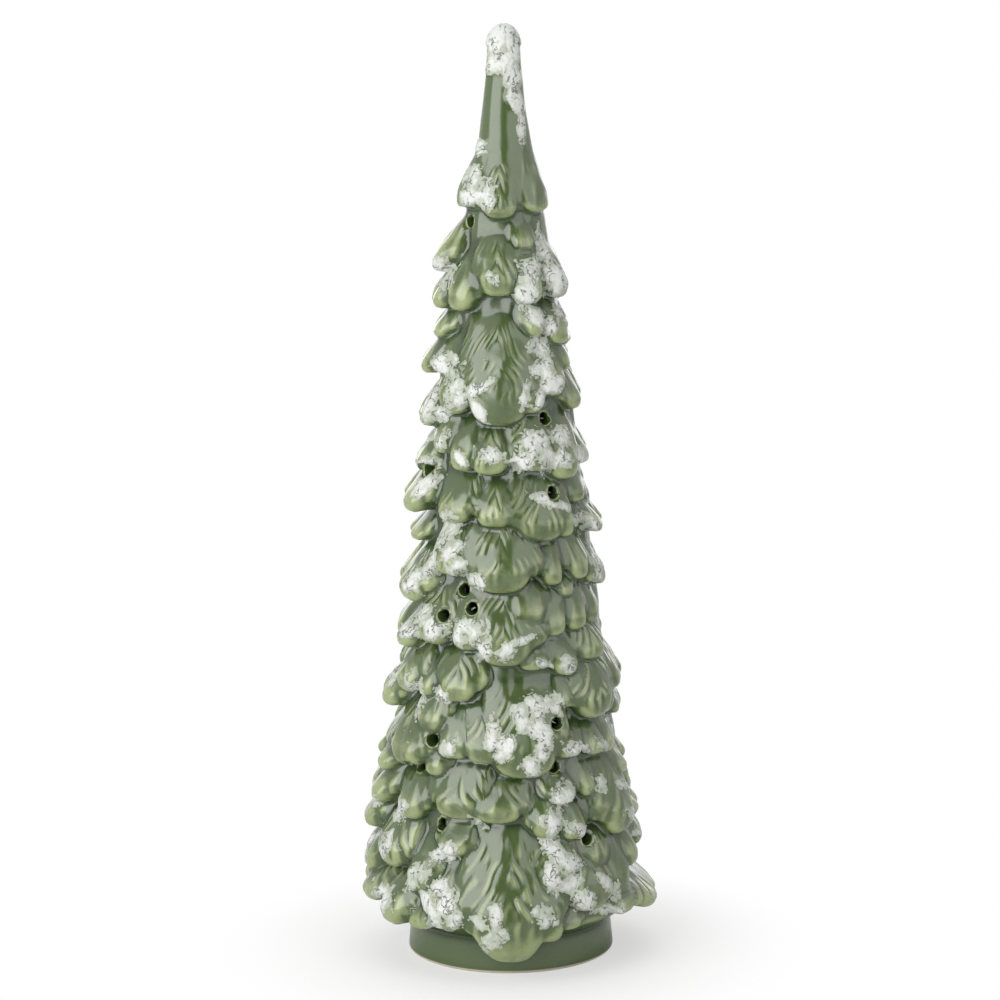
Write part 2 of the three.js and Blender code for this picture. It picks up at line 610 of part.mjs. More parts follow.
function unitCover() {
  const inner = COVER_TOP - COVER_WALL;
  let cover = revolved(
    [
      [0, inner],
      [COVER_BORE, inner],
      [COVER_BORE, COVER_BOTTOM],
      [COVER_RADIUS, COVER_BOTTOM],
      [COVER_RADIUS, COVER_TOP - COVER_EDGE],
      [COVER_RADIUS - COVER_EDGE * 0.3, COVER_TOP - COVER_EDGE * 0.3],
      [COVER_RADIUS - COVER_EDGE, COVER_TOP],
      [0, COVER_TOP],
    ],
    ROUND_SIDES,
  );
  for (const [x, y] of COVER_POSTS) {
    const post = upright(COVER_POST_RADIUS, COVER_BOTTOM, COVER_TOP - COVER_WALL / 2, 12);
    const pilotTop = SCREW_SEAT + COVER_SCREW.length + SEAT_GAP;
    const pilot = upright(COVER_SCREW.shank + SEAT_GAP, 0, pilotTop, 8);
    cover = cover.add(moved(post, x, y)).subtract(moved(pilot, x, y));
  }
  for (const [x, y] of ledPlaces())
    cover = cover.subtract(moved(upright(LED_RADIUS + SEAT_GAP, 0, COVER_TOP + 1, 12), x, y));
  return cover;
}

function sealRing() {
  const inner = COVER_RADIUS + SEAT_GAP;
  const band = inner + SEAL_BAND;
  const outer = BORE_RADIUS - SEAT_GAP;
  const bottom = FLANGE_TOP + SEAT_GAP;
  const pitch = SEAL_HEIGHT / SEAL_FINS;
  const profile = [[inner, bottom + SEAL_HEIGHT], [inner, bottom], [band, bottom]];
  for (let fin = 0; fin < SEAL_FINS; fin++) {
    const root = bottom + fin * pitch;
    profile.push([outer, root + pitch * 0.3], [band, root + pitch * 0.85]);
  }
  profile.push([band, bottom + SEAL_HEIGHT], [inner, bottom + SEAL_HEIGHT]);
  return revolved(profile, ROUND_SIDES);
}

function screw({ shank, length, head, headHeight }) {
  const slot = { x: head * 1.1, y: head * 0.3, z: headHeight };
  const cross = blockOn(0, 0, -headHeight / 2, slot).add(
    blockOn(0, 0, -headHeight / 2, { ...slot, x: slot.y, y: slot.x }),
  );
  return upright(head, 0, headHeight, 12)
    .add(upright(shank, headHeight / 2, headHeight + length, 8))
    .subtract(cross);
}

function ledPlaces() {
  return Array.from({ length: LED_COUNT }, (_, i) => {
    const angle = radians(90 + (360 / LED_COUNT) * i);
    return [LED_CIRCLE_RADIUS * Math.cos(angle), LED_CIRCLE_RADIUS * Math.sin(angle)];
  });
}

function led() {
  const profile = [[0, 0], [LED_RIM_RADIUS, 0], [LED_RIM_RADIUS, LED_RIM_HEIGHT], [LED_RADIUS, LED_RIM_HEIGHT]];
  const straight = LED_LENGTH - LED_RADIUS;
  for (let i = 0; i < 4; i++) {
    const angle = radians(22.5 * i);
    profile.push([LED_RADIUS * Math.cos(angle), straight + LED_RADIUS * Math.sin(angle)]);
  }
  profile.push([0, LED_LENGTH]);
  return revolved(profile, 12);
}

function timerChip() {
  let chip = blockOn(0, 0, CHIP_LEG.z / 2, CHIP);
  for (const side of [-1, 1])
    for (let i = 0; i < CHIP_LEGS_A_SIDE; i++) {
      const y = (i - (CHIP_LEGS_A_SIDE - 1) / 2) * CHIP_LEG_PITCH * 0.95;
      chip = chip.add(blockOn(side * (CHIP.x / 2 + CHIP_LEG.x / 3), y, 0, CHIP_LEG));
    }
  return chip;
}

function circuitBoard() {
  let board = blockOn(0, 0, BOARD_BOTTOM, BOARD);
  for (const [x, y] of BOARD_POSTS)
    board = board.subtract(moved(upright(BOARD_SCREW.shank + SEAT_GAP, 0, BOARD_TOP + 1, 8), x, y));
  return board;
}

function switchBody() {
  const pocket = {
    x: SWITCH_BODY.x - 2 * SWITCH_WALL,
    y: SWITCH_BODY.y - 2 * SWITCH_WALL,
    z: SWITCH_BODY.z - SWITCH_WALL,
  };
  return blockOn(0, 0, 0, SWITCH_BODY).subtract(blockOn(0, 0, -SWITCH_WALL, { ...pocket, z: pocket.z + SWITCH_WALL }));
}

function switchSlider() {
  const bottom = FLANGE_TOP + SEAT_GAP;
  const knob = { ...KNOB, z: bottom - KNOB_RECESS + CARRIAGE.z / 2 };
  return blockOn(0, 0, bottom, CARRIAGE).add(blockOn(0, 0, KNOB_RECESS, knob));
}

// The wires' routes, as points chosen by hand from named places.
function wireCurve(points) {
  return new THREE.CatmullRomCurve3(points.map((point) => new THREE.Vector3(...point)));
}

const TAB_Y = BAY.y - SEAT_GAP - CONTACT_THICKNESS / 2;
const WIRE_START = ROOF_TOP + TAB_RISE + SEAT_GAP;
const WIRE_END = BOARD_TOP + SEAT_GAP;

function tabWire(x) {
  const padY = BOARD.y / 2 - 1.6;
  const bow = WIRE_END + 1.6;
  return tube(
    wireCurve([
      [x, TAB_Y, WIRE_START],
      [x, TAB_Y, bow],
      [x * 0.95, (TAB_Y + padY) / 2 + 0.4, bow + 1.6],
      [x * 0.9, padY, bow],
      [x * 0.9, padY, WIRE_END],
    ]),
    WIRE_RADIUS,
    8,
    12,
  );
}

function switchWire() {
  const start = COVER_BOTTOM + SWITCH_BODY.z + SEAT_GAP;
  const padX = BOARD.x / 2 - 1.6;
  const bow = WIRE_END + 1.4;
  return tube(
    wireCurve([
      [SWITCH_X, 0, start],
      [SWITCH_X, 0, start + 3],
      [SWITCH_X - 0.4, -1, (start + bow) / 2],
      [(SWITCH_X + padX) / 2 + 1.4, -2, bow + 0.8],
      [padX, -2.4, bow],
      [padX, -2.4, WIRE_END],
    ]),
    WIRE_RADIUS,
    8,
    16,
  );
}

// Materials

const finish = (color, roughness, metalness = 0) =>
  new THREE.MeshStandardMaterial({ color, roughness, metalness });
const GLAZE = finish(0x6f8458, 0.12);
const WHITE_PLASTIC = finish(0xe9e8e2, 0.45);
const BLACK_PLASTIC = finish(0x1b1b1c, 0.5);
const SILICONE = finish(0xd9dad6, 0.6);
const STEEL = finish(0xb9bcc0, 0.3, 1);
const CELL_SLEEVE = finish(0x2f3a33, 0.35);
const BOARD_GREEN = finish(0x1f5a34, 0.5);
const CHIP_BLACK = finish(0x151515, 0.6);
const LED_EPOXY = finish(0xf4ecc4, 0.08);
const RESISTOR_BODY = finish(0xc9b48a, 0.6);
const CAPACITOR_SLEEVE = finish(0x20304a, 0.4);
const RED_WIRE = finish(0xb01f1c, 0.5);
const BLACK_WIRE = finish(0x161616, 0.5);

// Assembly

const tree = new THREE.Group();

function add(name, solid, material, place = [0, 0, 0], turn = 0) {
  const mesh = new THREE.Mesh(geometryOf(solid), material);
  mesh.name = name;
  mesh.position.set(...place);
  mesh.rotation.z = radians(turn);
  tree.add(mesh);
}

add("tree_shell", treeShell(), GLAZE);
add("base_tray", baseTray(), WHITE_PLASTIC);
add("unit_cover", unitCover(), WHITE_PLASTIC);
add("seal_ring", sealRing(), SILICONE);
add("battery_door", batteryDoor(), WHITE_PLASTIC);

const left = -CELL_PITCH / 2;
const right = CELL_PITCH / 2;
add("battery_left", cell(), CELL_SLEEVE, [left, CELL_SHIFT, CELL_Z]);
add("battery_right", cell(), CELL_SLEEVE, [right, -CELL_SHIFT, CELL_Z], 180);
const frontWall = BAY.y - SEAT_GAP;
add("contact_positive", contact(CONTACT_WIDTH, [], [0], true), STEEL, [left, frontWall, 0]);
add("contact_negative", contact(CONTACT_WIDTH, [0], [], true), STEEL, [right, frontWall, 0]);
add(
  "contact_bridge",
  contact(CELL_PITCH + CONTACT_WIDTH, [-left], [-right], false),
  STEEL,
  [0, -frontWall, 0],
  180,
);

add("circuit_board", circuitBoard(), BOARD_GREEN);
ledPlaces().forEach(([x, y], i) => add(`led_${i + 1}`, led(), LED_EPOXY, [x, y, LED_BOTTOM]));
const partsY = -BOARD.y / 4 - 1;
add("timer_chip", timerChip(), CHIP_BLACK, [-BOARD.x / 4, partsY, WIRE_END]);
add("capacitor", upright(CAPACITOR_RADIUS, 0, CAPACITOR_HEIGHT, 16), CAPACITOR_SLEEVE, [
  BOARD.x / 4,
  partsY,
  WIRE_END,
]);
add(
  "resistor",
  upright(RESISTOR_RADIUS, -RESISTOR_LENGTH / 2, RESISTOR_LENGTH / 2, 10).rotate([0, 90, 0]),
  RESISTOR_BODY,
  [0, -partsY + 1, WIRE_END + RESISTOR_RADIUS],
);

add("switch_body", switchBody(), STEEL, [SWITCH_X, 0, COVER_BOTTOM]);
add("switch_slider", switchSlider(), BLACK_PLASTIC, [SWITCH_X, 0, 0]);
add("wire_red", tabWire(left), RED_WIRE);
add("wire_black", tabWire(right), BLACK_WIRE);
add("wire_switch", switchWire(), RED_WIRE);

COVER_POSTS.forEach(([x, y], i) =>
  add(`cover_screw_${i + 1}`, screw(COVER_SCREW), STEEL, [x, y, SCREW_HEAD_BOTTOM]),
);
BOARD_POSTS.forEach(([x, y], i) => {
  const upsideDown = screw(BOARD_SCREW).rotate([180, 0, 0]);
  add(`board_screw_${i + 1}`, upsideDown, STEEL, [x, y, WIRE_END + BOARD_SCREW.headHeight]);
});

export default tree;
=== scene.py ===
"""A glazed stoneware fir tree with rough snow paint, lit from inside by a battery unit in its foot.

The file is laid out as an add-on. Its sidebar panel lists the sizes and colours, and one operator
makes each piece or group of finishes. Shapes are worked out in millimetres, with +Z up and the
front towards -Y, and become metres when a mesh is made.
"""

import math

import bpy
import numpy as np
from mathutils import Matrix, Vector


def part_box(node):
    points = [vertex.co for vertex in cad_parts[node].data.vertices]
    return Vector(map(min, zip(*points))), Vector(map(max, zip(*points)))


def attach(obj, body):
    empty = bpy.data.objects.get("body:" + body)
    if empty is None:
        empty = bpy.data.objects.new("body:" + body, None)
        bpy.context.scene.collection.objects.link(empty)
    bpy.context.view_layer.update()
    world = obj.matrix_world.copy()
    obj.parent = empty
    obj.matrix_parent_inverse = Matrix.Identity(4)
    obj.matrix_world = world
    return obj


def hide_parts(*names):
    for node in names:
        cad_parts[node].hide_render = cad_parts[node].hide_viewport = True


bl_info = {
    "name": "Stoneware Fir Tree",
    "version": (1, 0, 0),
    "blender": (4, 5, 0),
    "location": "3D View > Sidebar > Fir Tree",
    "description": "Glazed stoneware fir tree with snow paint, and the finishes of its light unit",
    "category": "Add Mesh",
}

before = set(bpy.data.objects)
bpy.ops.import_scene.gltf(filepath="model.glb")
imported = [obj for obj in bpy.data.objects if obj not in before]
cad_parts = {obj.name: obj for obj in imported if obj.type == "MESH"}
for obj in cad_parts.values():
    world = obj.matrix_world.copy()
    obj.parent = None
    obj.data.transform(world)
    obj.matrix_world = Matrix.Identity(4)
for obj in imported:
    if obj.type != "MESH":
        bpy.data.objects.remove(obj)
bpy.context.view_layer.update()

MM = 0.001
FLOOR_RADIUS = 3000.0
FLOOR_GAP = 0.05  # mm under the foot
FLOOR_OPENING = 36  # clear inside this radius, so that light reaches the unit in the foot

# Sizes that the frame gives
TREE_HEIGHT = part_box("tree_shell")[1].z / MM
SEAT_GAP = 0.3
BORE_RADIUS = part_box("seal_ring")[1].x / MM + SEAT_GAP
BORE_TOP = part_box("unit_cover")[1].z / MM + SEAT_GAP

# Sizes of the casting. Its height, foot, bore and wall are the solid's, and its boughs and the
# foot's edge are finer.
CROWN_HEIGHT = 0.81 * TREE_HEIGHT  # where the boughs give way to the spire
SKIRT_HEIGHT = 22
SKIRT_RADIUS = 50
CROWN_RADIUS = 15.5
SPIRE_BASE_RADIUS = 17.2
CONE_BULGE = 1.6
SPIRE_TIP_RADIUS = 6.6
SPIRE_NOSE = 9
SPIRE_WAIST = 2
FOOT_WALL = 6.5
FOOT_RADIUS = BORE_RADIUS + FOOT_WALL
FOOT_HEIGHT = 13
FOOT_EDGE = 1.4
FOOT_TAPER = 1.2
RIM_CHAMFER = 0.4
SHELL_WALL = 5
CAVITY_TOP = 0.9 * TREE_HEIGHT
CAVITY_TIP_RADIUS = 2.2
SHOULDER_HEIGHT = 14
HOLE_RADIUS = 2.5
BOUGH_DROOP = 0.3  # mm down for each mm that a bough stands proud
BOUGH_NOSE = 0.38  # share of a bough's length that is its rounded tip
BOUGH_ROOT = 0.74  # share of a bough's width that is left at its root
APRON_WIDTH = 1.5  # of the skin beside a bough, in bough widths
APRON_LIFT = 0.52  # of a bough's lift, and APRON_GAIN more for each mm of its width
APRON_GAIN = 0.014
APRON_RISE = 0.14  # of a bough's length, from its tip up to the skin's edge
SEAM_AZIMUTH = 50
LARGE_BOUGH = 17  # mm wide, from which a bough has the ribs of a large one
POINTED_BOUGH = 24  # mm wide, from which a bough ends in a point

# How finely the casting is worked out, and how many of those points its mesh keeps
FINE_COLUMNS = 960
FINE_ROW_PITCH = 0.383
KEPT_STEP = 3
STITCH_HEIGHT = 230  # above it, every second column is dropped
SMOOTHING = 0.42  # mm

# The boughs of the front half, tier by tier from the skirt up. A tier has its share of the tree's
# height, and each bough [azimuth in degrees, tip above the tier, width, length, lift].
TIERS = [
    (0.053, [
        (0, -11, 36, 54, 10), (-28, 1, 22, 26, 8.5), (17, -3, 13, 20, 7), (38, 7, 24, 26, 8.5),
        (-57, -1, 17, 23, 11), (-76, 5, 20, 20, 12.5), (78, 1, 25, 14, 11.5), (58, 2, 16, 18, 8),
        (-43, -1, 14, 16, 7), (27, 0, 12, 12, 4.5),
    ]),
    (0.105, [
        (-63, 2, 22, 26, 11), (-27, 11, 14, 14, 5.5), (20, -3, 19, 24, 8), (-43, -6, 14, 24, 8),
        (44, 4, 14, 16, 6), (56, -10, 15, 28, 8), (67, 0, 12, 20, 8), (-81, -4, 16, 24, 12.5),
        (84, 5, 12, 16, 7.6),
    ]),
    (0.163, [
        (-26, 4, 22, 22, 7), (-6, 3, 21, 18, 6.5), (-53, 1, 16, 22, 8.5), (-78, 4, 16, 20, 13),
        (26, 10, 13, 12, 6), (17, -3, 13, 18, 7), (41, 11, 9, 14, 5.5), (31, -5, 12, 16, 6.5),
        (60, -7, 23, 32, 9.5), (80, -4, 14, 12, 7.5), (46, 0, 10, 16, 5), (-86, -8, 16, 20, 13.5),
    ]),
    (0.232, [
        (8, -5, 30, 38, 9), (-11, 1, 20, 24, 8), (-28, 2, 16, 22, 7.5), (-57, -4, 24, 28, 11),
        (-39, -6, 10, 16, 6.5), (30, 2, 13, 14, 7), (47, 1, 11, 14, 6.5), (58, 0, 11, 16, 6),
        (72, -11, 13, 11, 6), (-82, -2, 15, 16, 8.5), (-75, -8, 14, 16, 12), (83, 12, 14, 13, 4.6),
    ]),
    (0.289, [
        (-62, 4, 17, 22, 10), (-28, 3, 17, 22, 7.5), (-47, 4, 10, 16, 7.5), (-80, -4, 16, 18, 11.5),
        (34, 0, 11, 14, 5.5), (51, -6, 22, 28, 8.5), (68, -7, 12, 18, 4), (-43, -10, 14, 20, 8),
    ]),
    (0.321, [
        (53, 5, 17, 16, 6.5), (77, -10, 18, 18, 6.8), (14, 4, 13, 12, 5.5), (33, 1, 13, 16, 6),
        (43, -3, 9, 12, 5),
    ]),
    (0.361, [
        (12, 7, 15, 18, 7), (-2, -9, 26, 32, 9), (-23, -3, 14, 24, 8), (-44, -2, 17, 24, 9.5),
        (-66, -5, 14, 16, 10.5), (27, 2, 12, 20, 6.5), (43, 3, 12, 18, 6), (60, 4, 12, 14, 4),
        (-84, -3, 12, 16, 8),
    ]),
    (0.416, [
        (-4, -1, 26, 30, 9), (28, 1, 10, 18, 6), (-36, 5, 17, 20, 8), (-65, -7, 19, 22, 12),
        (49, 2, 12, 18, 6), (64, -1, 11, 16, 4.5), (37, -4, 8, 10, 4.5), (82, -4, 12, 13, 4.6),
        (15, 5, 9, 16, 5.5),
    ]),
    (0.479, [
        (-8, 1, 17, 18, 7), (22, -5, 24, 26, 8), (39, -4, 9, 20, 7), (-36, 2, 18, 20, 7.5),
        (-70, 5, 16, 20, 13), (58, 8, 13, 14, 4), (74, -5, 12, 12, 7.2), (-76, -8, 14, 11, 7.5),
        (84, 4, 12, 12, 2.2),
    ]),
    (0.542, [
        (-51, 5, 12, 20, 8), (-32, -1, 14, 22, 8), (-12, -2, 17, 20, 8), (3, 3, 9, 14, 6),
        (20, -1, 18, 24, 8), (43, -5, 16, 26, 8.5), (68, -1, 14, 14, 5.2), (-75, -3, 13, 15, 9),
    ]),
    (0.6, [
        (-6, -5, 30, 44, 9), (-44, -1, 17, 28, 9), (-72, -7, 15, 19, 10), (19, 0, 12, 20, 7.5),
        (39, 6, 13, 24, 8), (67, -1, 13, 17, 5.8),
    ]),
    (0.642, [
        (-80, -2, 14, 18, 10.5), (54, -1, 10, 14, 6), (-59, -1, 13, 16, 8.5),
    ]),
    (0.674, [
        (53, -2, 13, 18, 7), (27, 2, 10, 14, 6), (-74, 0, 12, 13, 7.5), (81, -4, 12, 10, 3),
    ]),
    (0.721, [
        (-8, 0, 18, 24, 7.5), (-46, -6, 15, 24, 8.5), (-80, 9, 13, 21, 11.5), (22, -3, 14, 24, 7.5),
        (63, -2, 14, 22, 7), (-26, 4, 10, 16, 5), (22, 17, 9, 12, 3.5), (-77, -6, 13, 18, 9.5),
    ]),
    (0.805, [
        (-8, -2, 17, 26, 2.8), (48, 0, 16, 24, 2.8), (-62, 2, 15, 22, 4.5),
    ]),
]
SPIRE_SHARE = 0.8  # tiers above it hang from the spire's wider foot

# The light holes of the front half: (azimuth in degrees, share of the tree's height).
HOLES = [
    (-57, 0.795), (32, 0.591), (-67, 0.532), (32, 0.514), (-29, 0.412), (-37, 0.386),
    (-21, 0.395), (-72, 0.326), (24, 0.274), (-40, 0.253), (-52, 0.22), (24, 0.225),
    (-36, 0.162), (39, 0.145),
]

# Brush daubs of snow paint on the front half, from the top down: (azimuth in degrees, height,
# half length, half width, tilt of the length in degrees from level, cover from 0 to 1).
DAUBS = [
    # The cap and the run of paint below it
    (0, 378, 14, 3.5, 0, 1), (-24, 373, 5.5, 4.5, 50, 0.9), (30, 370, 7, 4, -85, 0.9),
    (-18, 365, 7.5, 4.5, 30, 0.9), (32, 359, 6, 4, 80, 0.95), (33, 350, 6, 3.5, -65, 1),
    (44, 339, 7, 2, 85, 0.95),
    # The foot of the spire
    (-57, 331, 5, 3.5, -5, 0.75), (-51, 320, 6.5, 4.5, -35, 0.7), (-48, 312, 6, 4, -10, 0.85),
    (-24, 312, 6, 4.5, 85, 0.8),
    # The crown
    (51, 291, 8, 4.5, -90, 0.75), (25, 284, 6, 5.5, 30, 0.85), (-71, 282, 8, 6, -45, 0.7),
    (-11, 281, 4, 2.5, -45, 0.65), (54, 279, 7, 6, -55, 0.9), (19, 275, 6, 4.5, 60, 0.9),
    (27, 266, 5, 4, 85, 0.9), (65, 264, 8, 4, -25, 0.8), (44, 262, 5, 3.5, 25, 0.75),
    (32, 253, 5, 4.5, -60, 0.95), (-54, 246, 9, 4.5, -5, 0.8), (29, 245, 6, 4, 30, 0.9),
    (37, 239, 5.5, 4.5, 5, 0.85), (-20, 238, 6.5, 2.5, 25, 0.95), (-38, 235, 7, 5, -90, 0.7),
    (13, 234, 6, 2, 75, 0.85), (25, 233, 5, 2, 70, 0.9), (-67, 230, 7.5, 4.5, -75, 0.9),
    (-20, 229, 5.5, 3, -60, 1), (-54, 226, 6.5, 3.5, 25, 0.75),
    # The upper middle
    (41, 217, 6.5, 4.5, 15, 0.8), (-79, 217, 6.5, 5.5, 0, 0.8), (20, 217, 6, 4.5, 10, 0.95),
    (-47, 216, 4.5, 2.5, 60, 0.8), (-12, 212, 6.5, 3, -10, 0.85), (-31, 210, 4.5, 2, -60, 0.9),
    (39, 209, 5, 4, -30, 0.75), (11, 209, 6.5, 4.5, 45, 0.95), (27, 209, 5.5, 4.5, -75, 0.9),
    (63, 207, 8, 5, -55, 0.75), (-65, 206, 5, 2, -5, 0.7), (-61, 197, 6, 4, 55, 0.85),
    (29, 192, 10, 2, -20, 0.95), (-43, 180, 9, 6, 65, 0.75), (64, 180, 8, 4.5, -35, 0.7),
    (-35, 173, 5.5, 4.5, 20, 0.85), (-51, 167, 7.5, 4, -85, 0.85), (-29, 166, 5.5, 4.5, 40, 0.75),
    (-19, 161, 5.5, 4, -20, 0.95), (72, 162, 8, 9, 25, 0.7), (-59, 159, 6.5, 5, 20, 0.8),
    # The middle
    (-54, 145, 8, 5, 30, 0.8), (-41, 142, 5.5, 5, 80, 0.95), (-23, 141, 10, 6, 20, 0.75),
    (8, 139, 6, 2, 15, 0.75), (-66, 138, 8, 3.5, 5, 0.8), (-12, 134, 6, 4, 60, 0.85),
    (-1, 134, 5, 3.5, 50, 0.8), (19, 128, 5, 2, -40, 0.85), (33, 126, 4.5, 3.5, -60, 0.75),
    (-36, 115, 4.5, 3.5, -40, 1), (-83, 114, 6.5, 3, 0, 0.8), (23, 112, 5, 4.5, -60, 0.8),
    (-53, 112, 10, 6, -80, 0.65), (13, 112, 5.5, 4, -70, 0.85), (6, 108, 5.5, 3.5, -75, 0.9),
    (15, 102, 5.5, 4.5, -10, 0.95), (-8, 101, 6, 3, -90, 0.9), (-1, 98, 4, 3.5, -50, 1),
    (16, 95, 5, 3.5, 65, 0.95), (-31, 94, 6.5, 4, 40, 0.75), (74, 94, 8, 6, -35, 0.8),
    (-3, 92, 5, 3, -20, 0.8), (35, 93, 8, 3, -15, 0.9), (52, 92, 6.5, 3, -40, 0.6),
    (10, 88, 5.5, 3.5, -70, 0.85),
    # The lower tiers
    (48, 77, 5, 4, -5, 0.65), (27, 75, 6.5, 5, 30, 0.75), (66, 73, 8, 2, -20, 0.8),
    (-79, 65, 6.5, 2.5, 20, 0.8), (20, 65, 6.5, 5.5, 25, 0.85), (-61, 65, 8.5, 5, 15, 0.9),
    (-15, 64, 4.5, 2, -50, 0.85), (68, 61, 8, 4, -15, 0.8), (35, 59, 9, 3.5, -25, 0.75),
    (20, 55, 6, 5, -85, 0.9), (-31, 51, 8, 4, 30, 0.9), (78, 50, 6.5, 2, -10, 0.7),
    (-62, 50, 5.5, 5, 60, 0.9), (27, 48, 6, 4, -20, 0.9), (18, 44, 6, 4.5, 75, 0.95),
    (-86, 41, 6.5, 4, -10, 0.9), (26, 40, 6, 4.5, 25, 0.85), (-44, 40, 9.5, 5.5, 40, 0.75),
    # The skirt
    (-32, 37, 5, 4, 5, 0.85), (46, 35, 9.5, 3.5, -45, 0.75), (-27, 32, 5.5, 4, 40, 0.95),
    (32, 32, 5.5, 4.5, -45, 0.85), (-37, 31, 6, 4, -45, 1), (-6, 30, 6, 3, -90, 0.9),
    (14, 28, 8, 4, -35, 0.75), (-62, 28, 8.5, 5, -5, 0.8), (-24, 26, 4.5, 4.5, 10, 0.75),
    (-12, 26, 5, 3.5, -50, 0.7), (48, 24, 7.5, 3, -15, 0.75), (-33, 23, 7, 4.5, 75, 0.9),
    (-7, 19, 7.5, 4.5, 45, 0.75),
]


# Sizes and colours that a user may change

def colour_property(name, description, default):
    return bpy.props.FloatVectorProperty(
        name=name, description=description, subtype="COLOR", size=3, min=0, max=1, default=default
    )


def length_property(name, description, default):
    return bpy.props.FloatProperty(
        name=name, description=description, subtype="DISTANCE", unit="LENGTH", min=0,
        precision=5, default=default,
    )


def share_property(name, description, default, highest=1.0):
    return bpy.props.FloatProperty(
        name=name, description=description, subtype="FACTOR", min=0, max=highest, default=default
    )


class CastingSizes(bpy.types.PropertyGroup):
    """Sizes of the stoneware casting's finer forms."""

    rib_pitch: length_property("Rib pitch", "Distance between the ribs of a large bough", 0.0033)
    rib_height: length_property("Rib height", "Height of a rib above its grooves", 0.00055)
    bough_edge: bpy.props.FloatProperty(
        name="Bough edge", description="How squarely a bough's top meets its sides",
        min=1.5, max=6, default=3.0,
    )
    crease: bpy.props.FloatProperty(
        name="Crease", description="How crisply neighbouring boughs meet",
        min=4, max=40, default=16,
    )
    unevenness: length_property("Unevenness", "Slow folds of the hand-finished surface", 0.0003)
    hole_flare: length_property("Hole flare", "Radius of the light holes' rounded rims", 0.0004)


class GlazeLook(bpy.types.PropertyGroup):
    """Colours of the glaze and of the bare clay."""

    # Paler than the glaze alone: partly a painted highlight on the edges and ribs.
    thin: colour_property("Thin glaze", "Over the edges and ribs", (0.32, 0.375, 0.17))
    flat: colour_property("Flat glaze", "On the boughs' faces", (0.068, 0.105, 0.032))
    pooled: colour_property("Pooled glaze", "In the hollows and creases", (0.022, 0.045, 0.01))
    rim: colour_property("Hole rim", "Round the light holes", (0.42, 0.5, 0.24))
    clay: colour_property("Bare clay", "On the foot's rim and inside", (0.62, 0.55, 0.44))
    roughness: share_property("Roughness", "Of the fired glaze", 0.16)


class SnowLook(bpy.types.PropertyGroup):
    """The rough snow paint."""

    colour: colour_property("Snow", "Colour of the paint", (0.7, 0.71, 0.68))
    shade: colour_property("Shade", "Colour of thin, worn paint", (0.4, 0.44, 0.35))
    crack: colour_property("Crack", "Colour in the cracks", (0.1, 0.12, 0.09))
    thickness: length_property("Thickness", "How far the paint stands proud", 0.0005)
    roughness: share_property("Roughness", "Of the dry paint", 0.7)


class UnitLook(bpy.types.PropertyGroup):
    """Colours of the light unit's parts."""

    white: colour_property("White plastic", "Of the tray, cover and door", (0.79, 0.79, 0.75))
    silicone: colour_property("Silicone", "Of the seal ring", (0.67, 0.69, 0.66))
    black: colour_property("Black plastic", "Of the knob and the chip", (0.012, 0.012, 0.013))
    metal: colour_property("Plated steel", "Of the contacts and screws", (0.62, 0.6, 0.56))
    sleeve: colour_property("Cell sleeve", "Of the battery cells", (0.03, 0.045, 0.038))
    mask: colour_property("Solder mask", "Of the circuit board", (0.012, 0.1, 0.035))
    epoxy: colour_property("Epoxy", "Of the light diodes", (0.92, 0.83, 0.55))
    red: colour_property("Red wire", "Of the positive leads", (0.44, 0.012, 0.01))


class StageSizes(bpy.types.PropertyGroup):
    """Camera, lamps and floor."""

    distance: length_property("Camera distance", "From the tree's axis, level", 1.4)
    camera_height: length_property("Camera height", "Above the floor", 0.434)
    aim_height: length_property("Aim height", "Where the view's axis meets the tree's", 0.185)
    lens: bpy.props.FloatProperty(
        name="Lens", description="Focal length on a 36 mm sensor, in millimetres",
        subtype="DISTANCE_CAMERA", min=1, default=125.6,
    )
    roll: bpy.props.FloatProperty(
        name="Camera roll", description="How far the camera leans",
        subtype="ANGLE", unit="ROTATION", default=math.radians(0.47),
    )
    floor: colour_property("Floor", "Colour of the floor", (0.92, 0.92, 0.915))
    ambient: share_property("Ambient", "Light of the world on matt surfaces", 0.22)
    lamps: share_property("Lamps", "Strength of the soft lamps", 1.0, highest=4.0)


# Surfaces

def wrapped(turn):
    """The angle between -pi and pi."""
    return (turn + math.pi) % (2 * math.pi) - math.pi


def behind(azimuth):
    """Where the back of the mould repeats something: half a turn on, or mirrored in the seam."""
    return 180 - azimuth if abs(azimuth) > SEAM_AZIMUTH else azimuth + 180


def eased(value):
    """0 below 0, 1 above 1, and an S curve between."""
    value = np.clip(value, 0, 1)
    return value * value * (3 - 2 * value)


def cone_radius(height):
    """Straight taper from the skirt to the crown, plus a parabola that bulges it midway."""
    share = (height - SKIRT_HEIGHT) / (CROWN_HEIGHT - SKIRT_HEIGHT)
    taper = SKIRT_RADIUS + (CROWN_RADIUS - SKIRT_RADIUS) * share
    return taper + 4 * CONE_BULGE * share * (1 - share)


def spire_radius(height):
    """A power curve that draws in from the crown, times an ellipse for the round nose."""
    share = np.clip((height - CROWN_HEIGHT) / (TREE_HEIGHT - CROWN_HEIGHT), 0, 1)
    body = SPIRE_TIP_RADIUS + (SPIRE_BASE_RADIUS - SPIRE_TIP_RADIUS) * (1 - share) ** SPIRE_WAIST
    nose = np.clip((height - (TREE_HEIGHT - SPIRE_NOSE)) / SPIRE_NOSE, 0, 1)
    return body * np.sqrt(1 - nose**2)


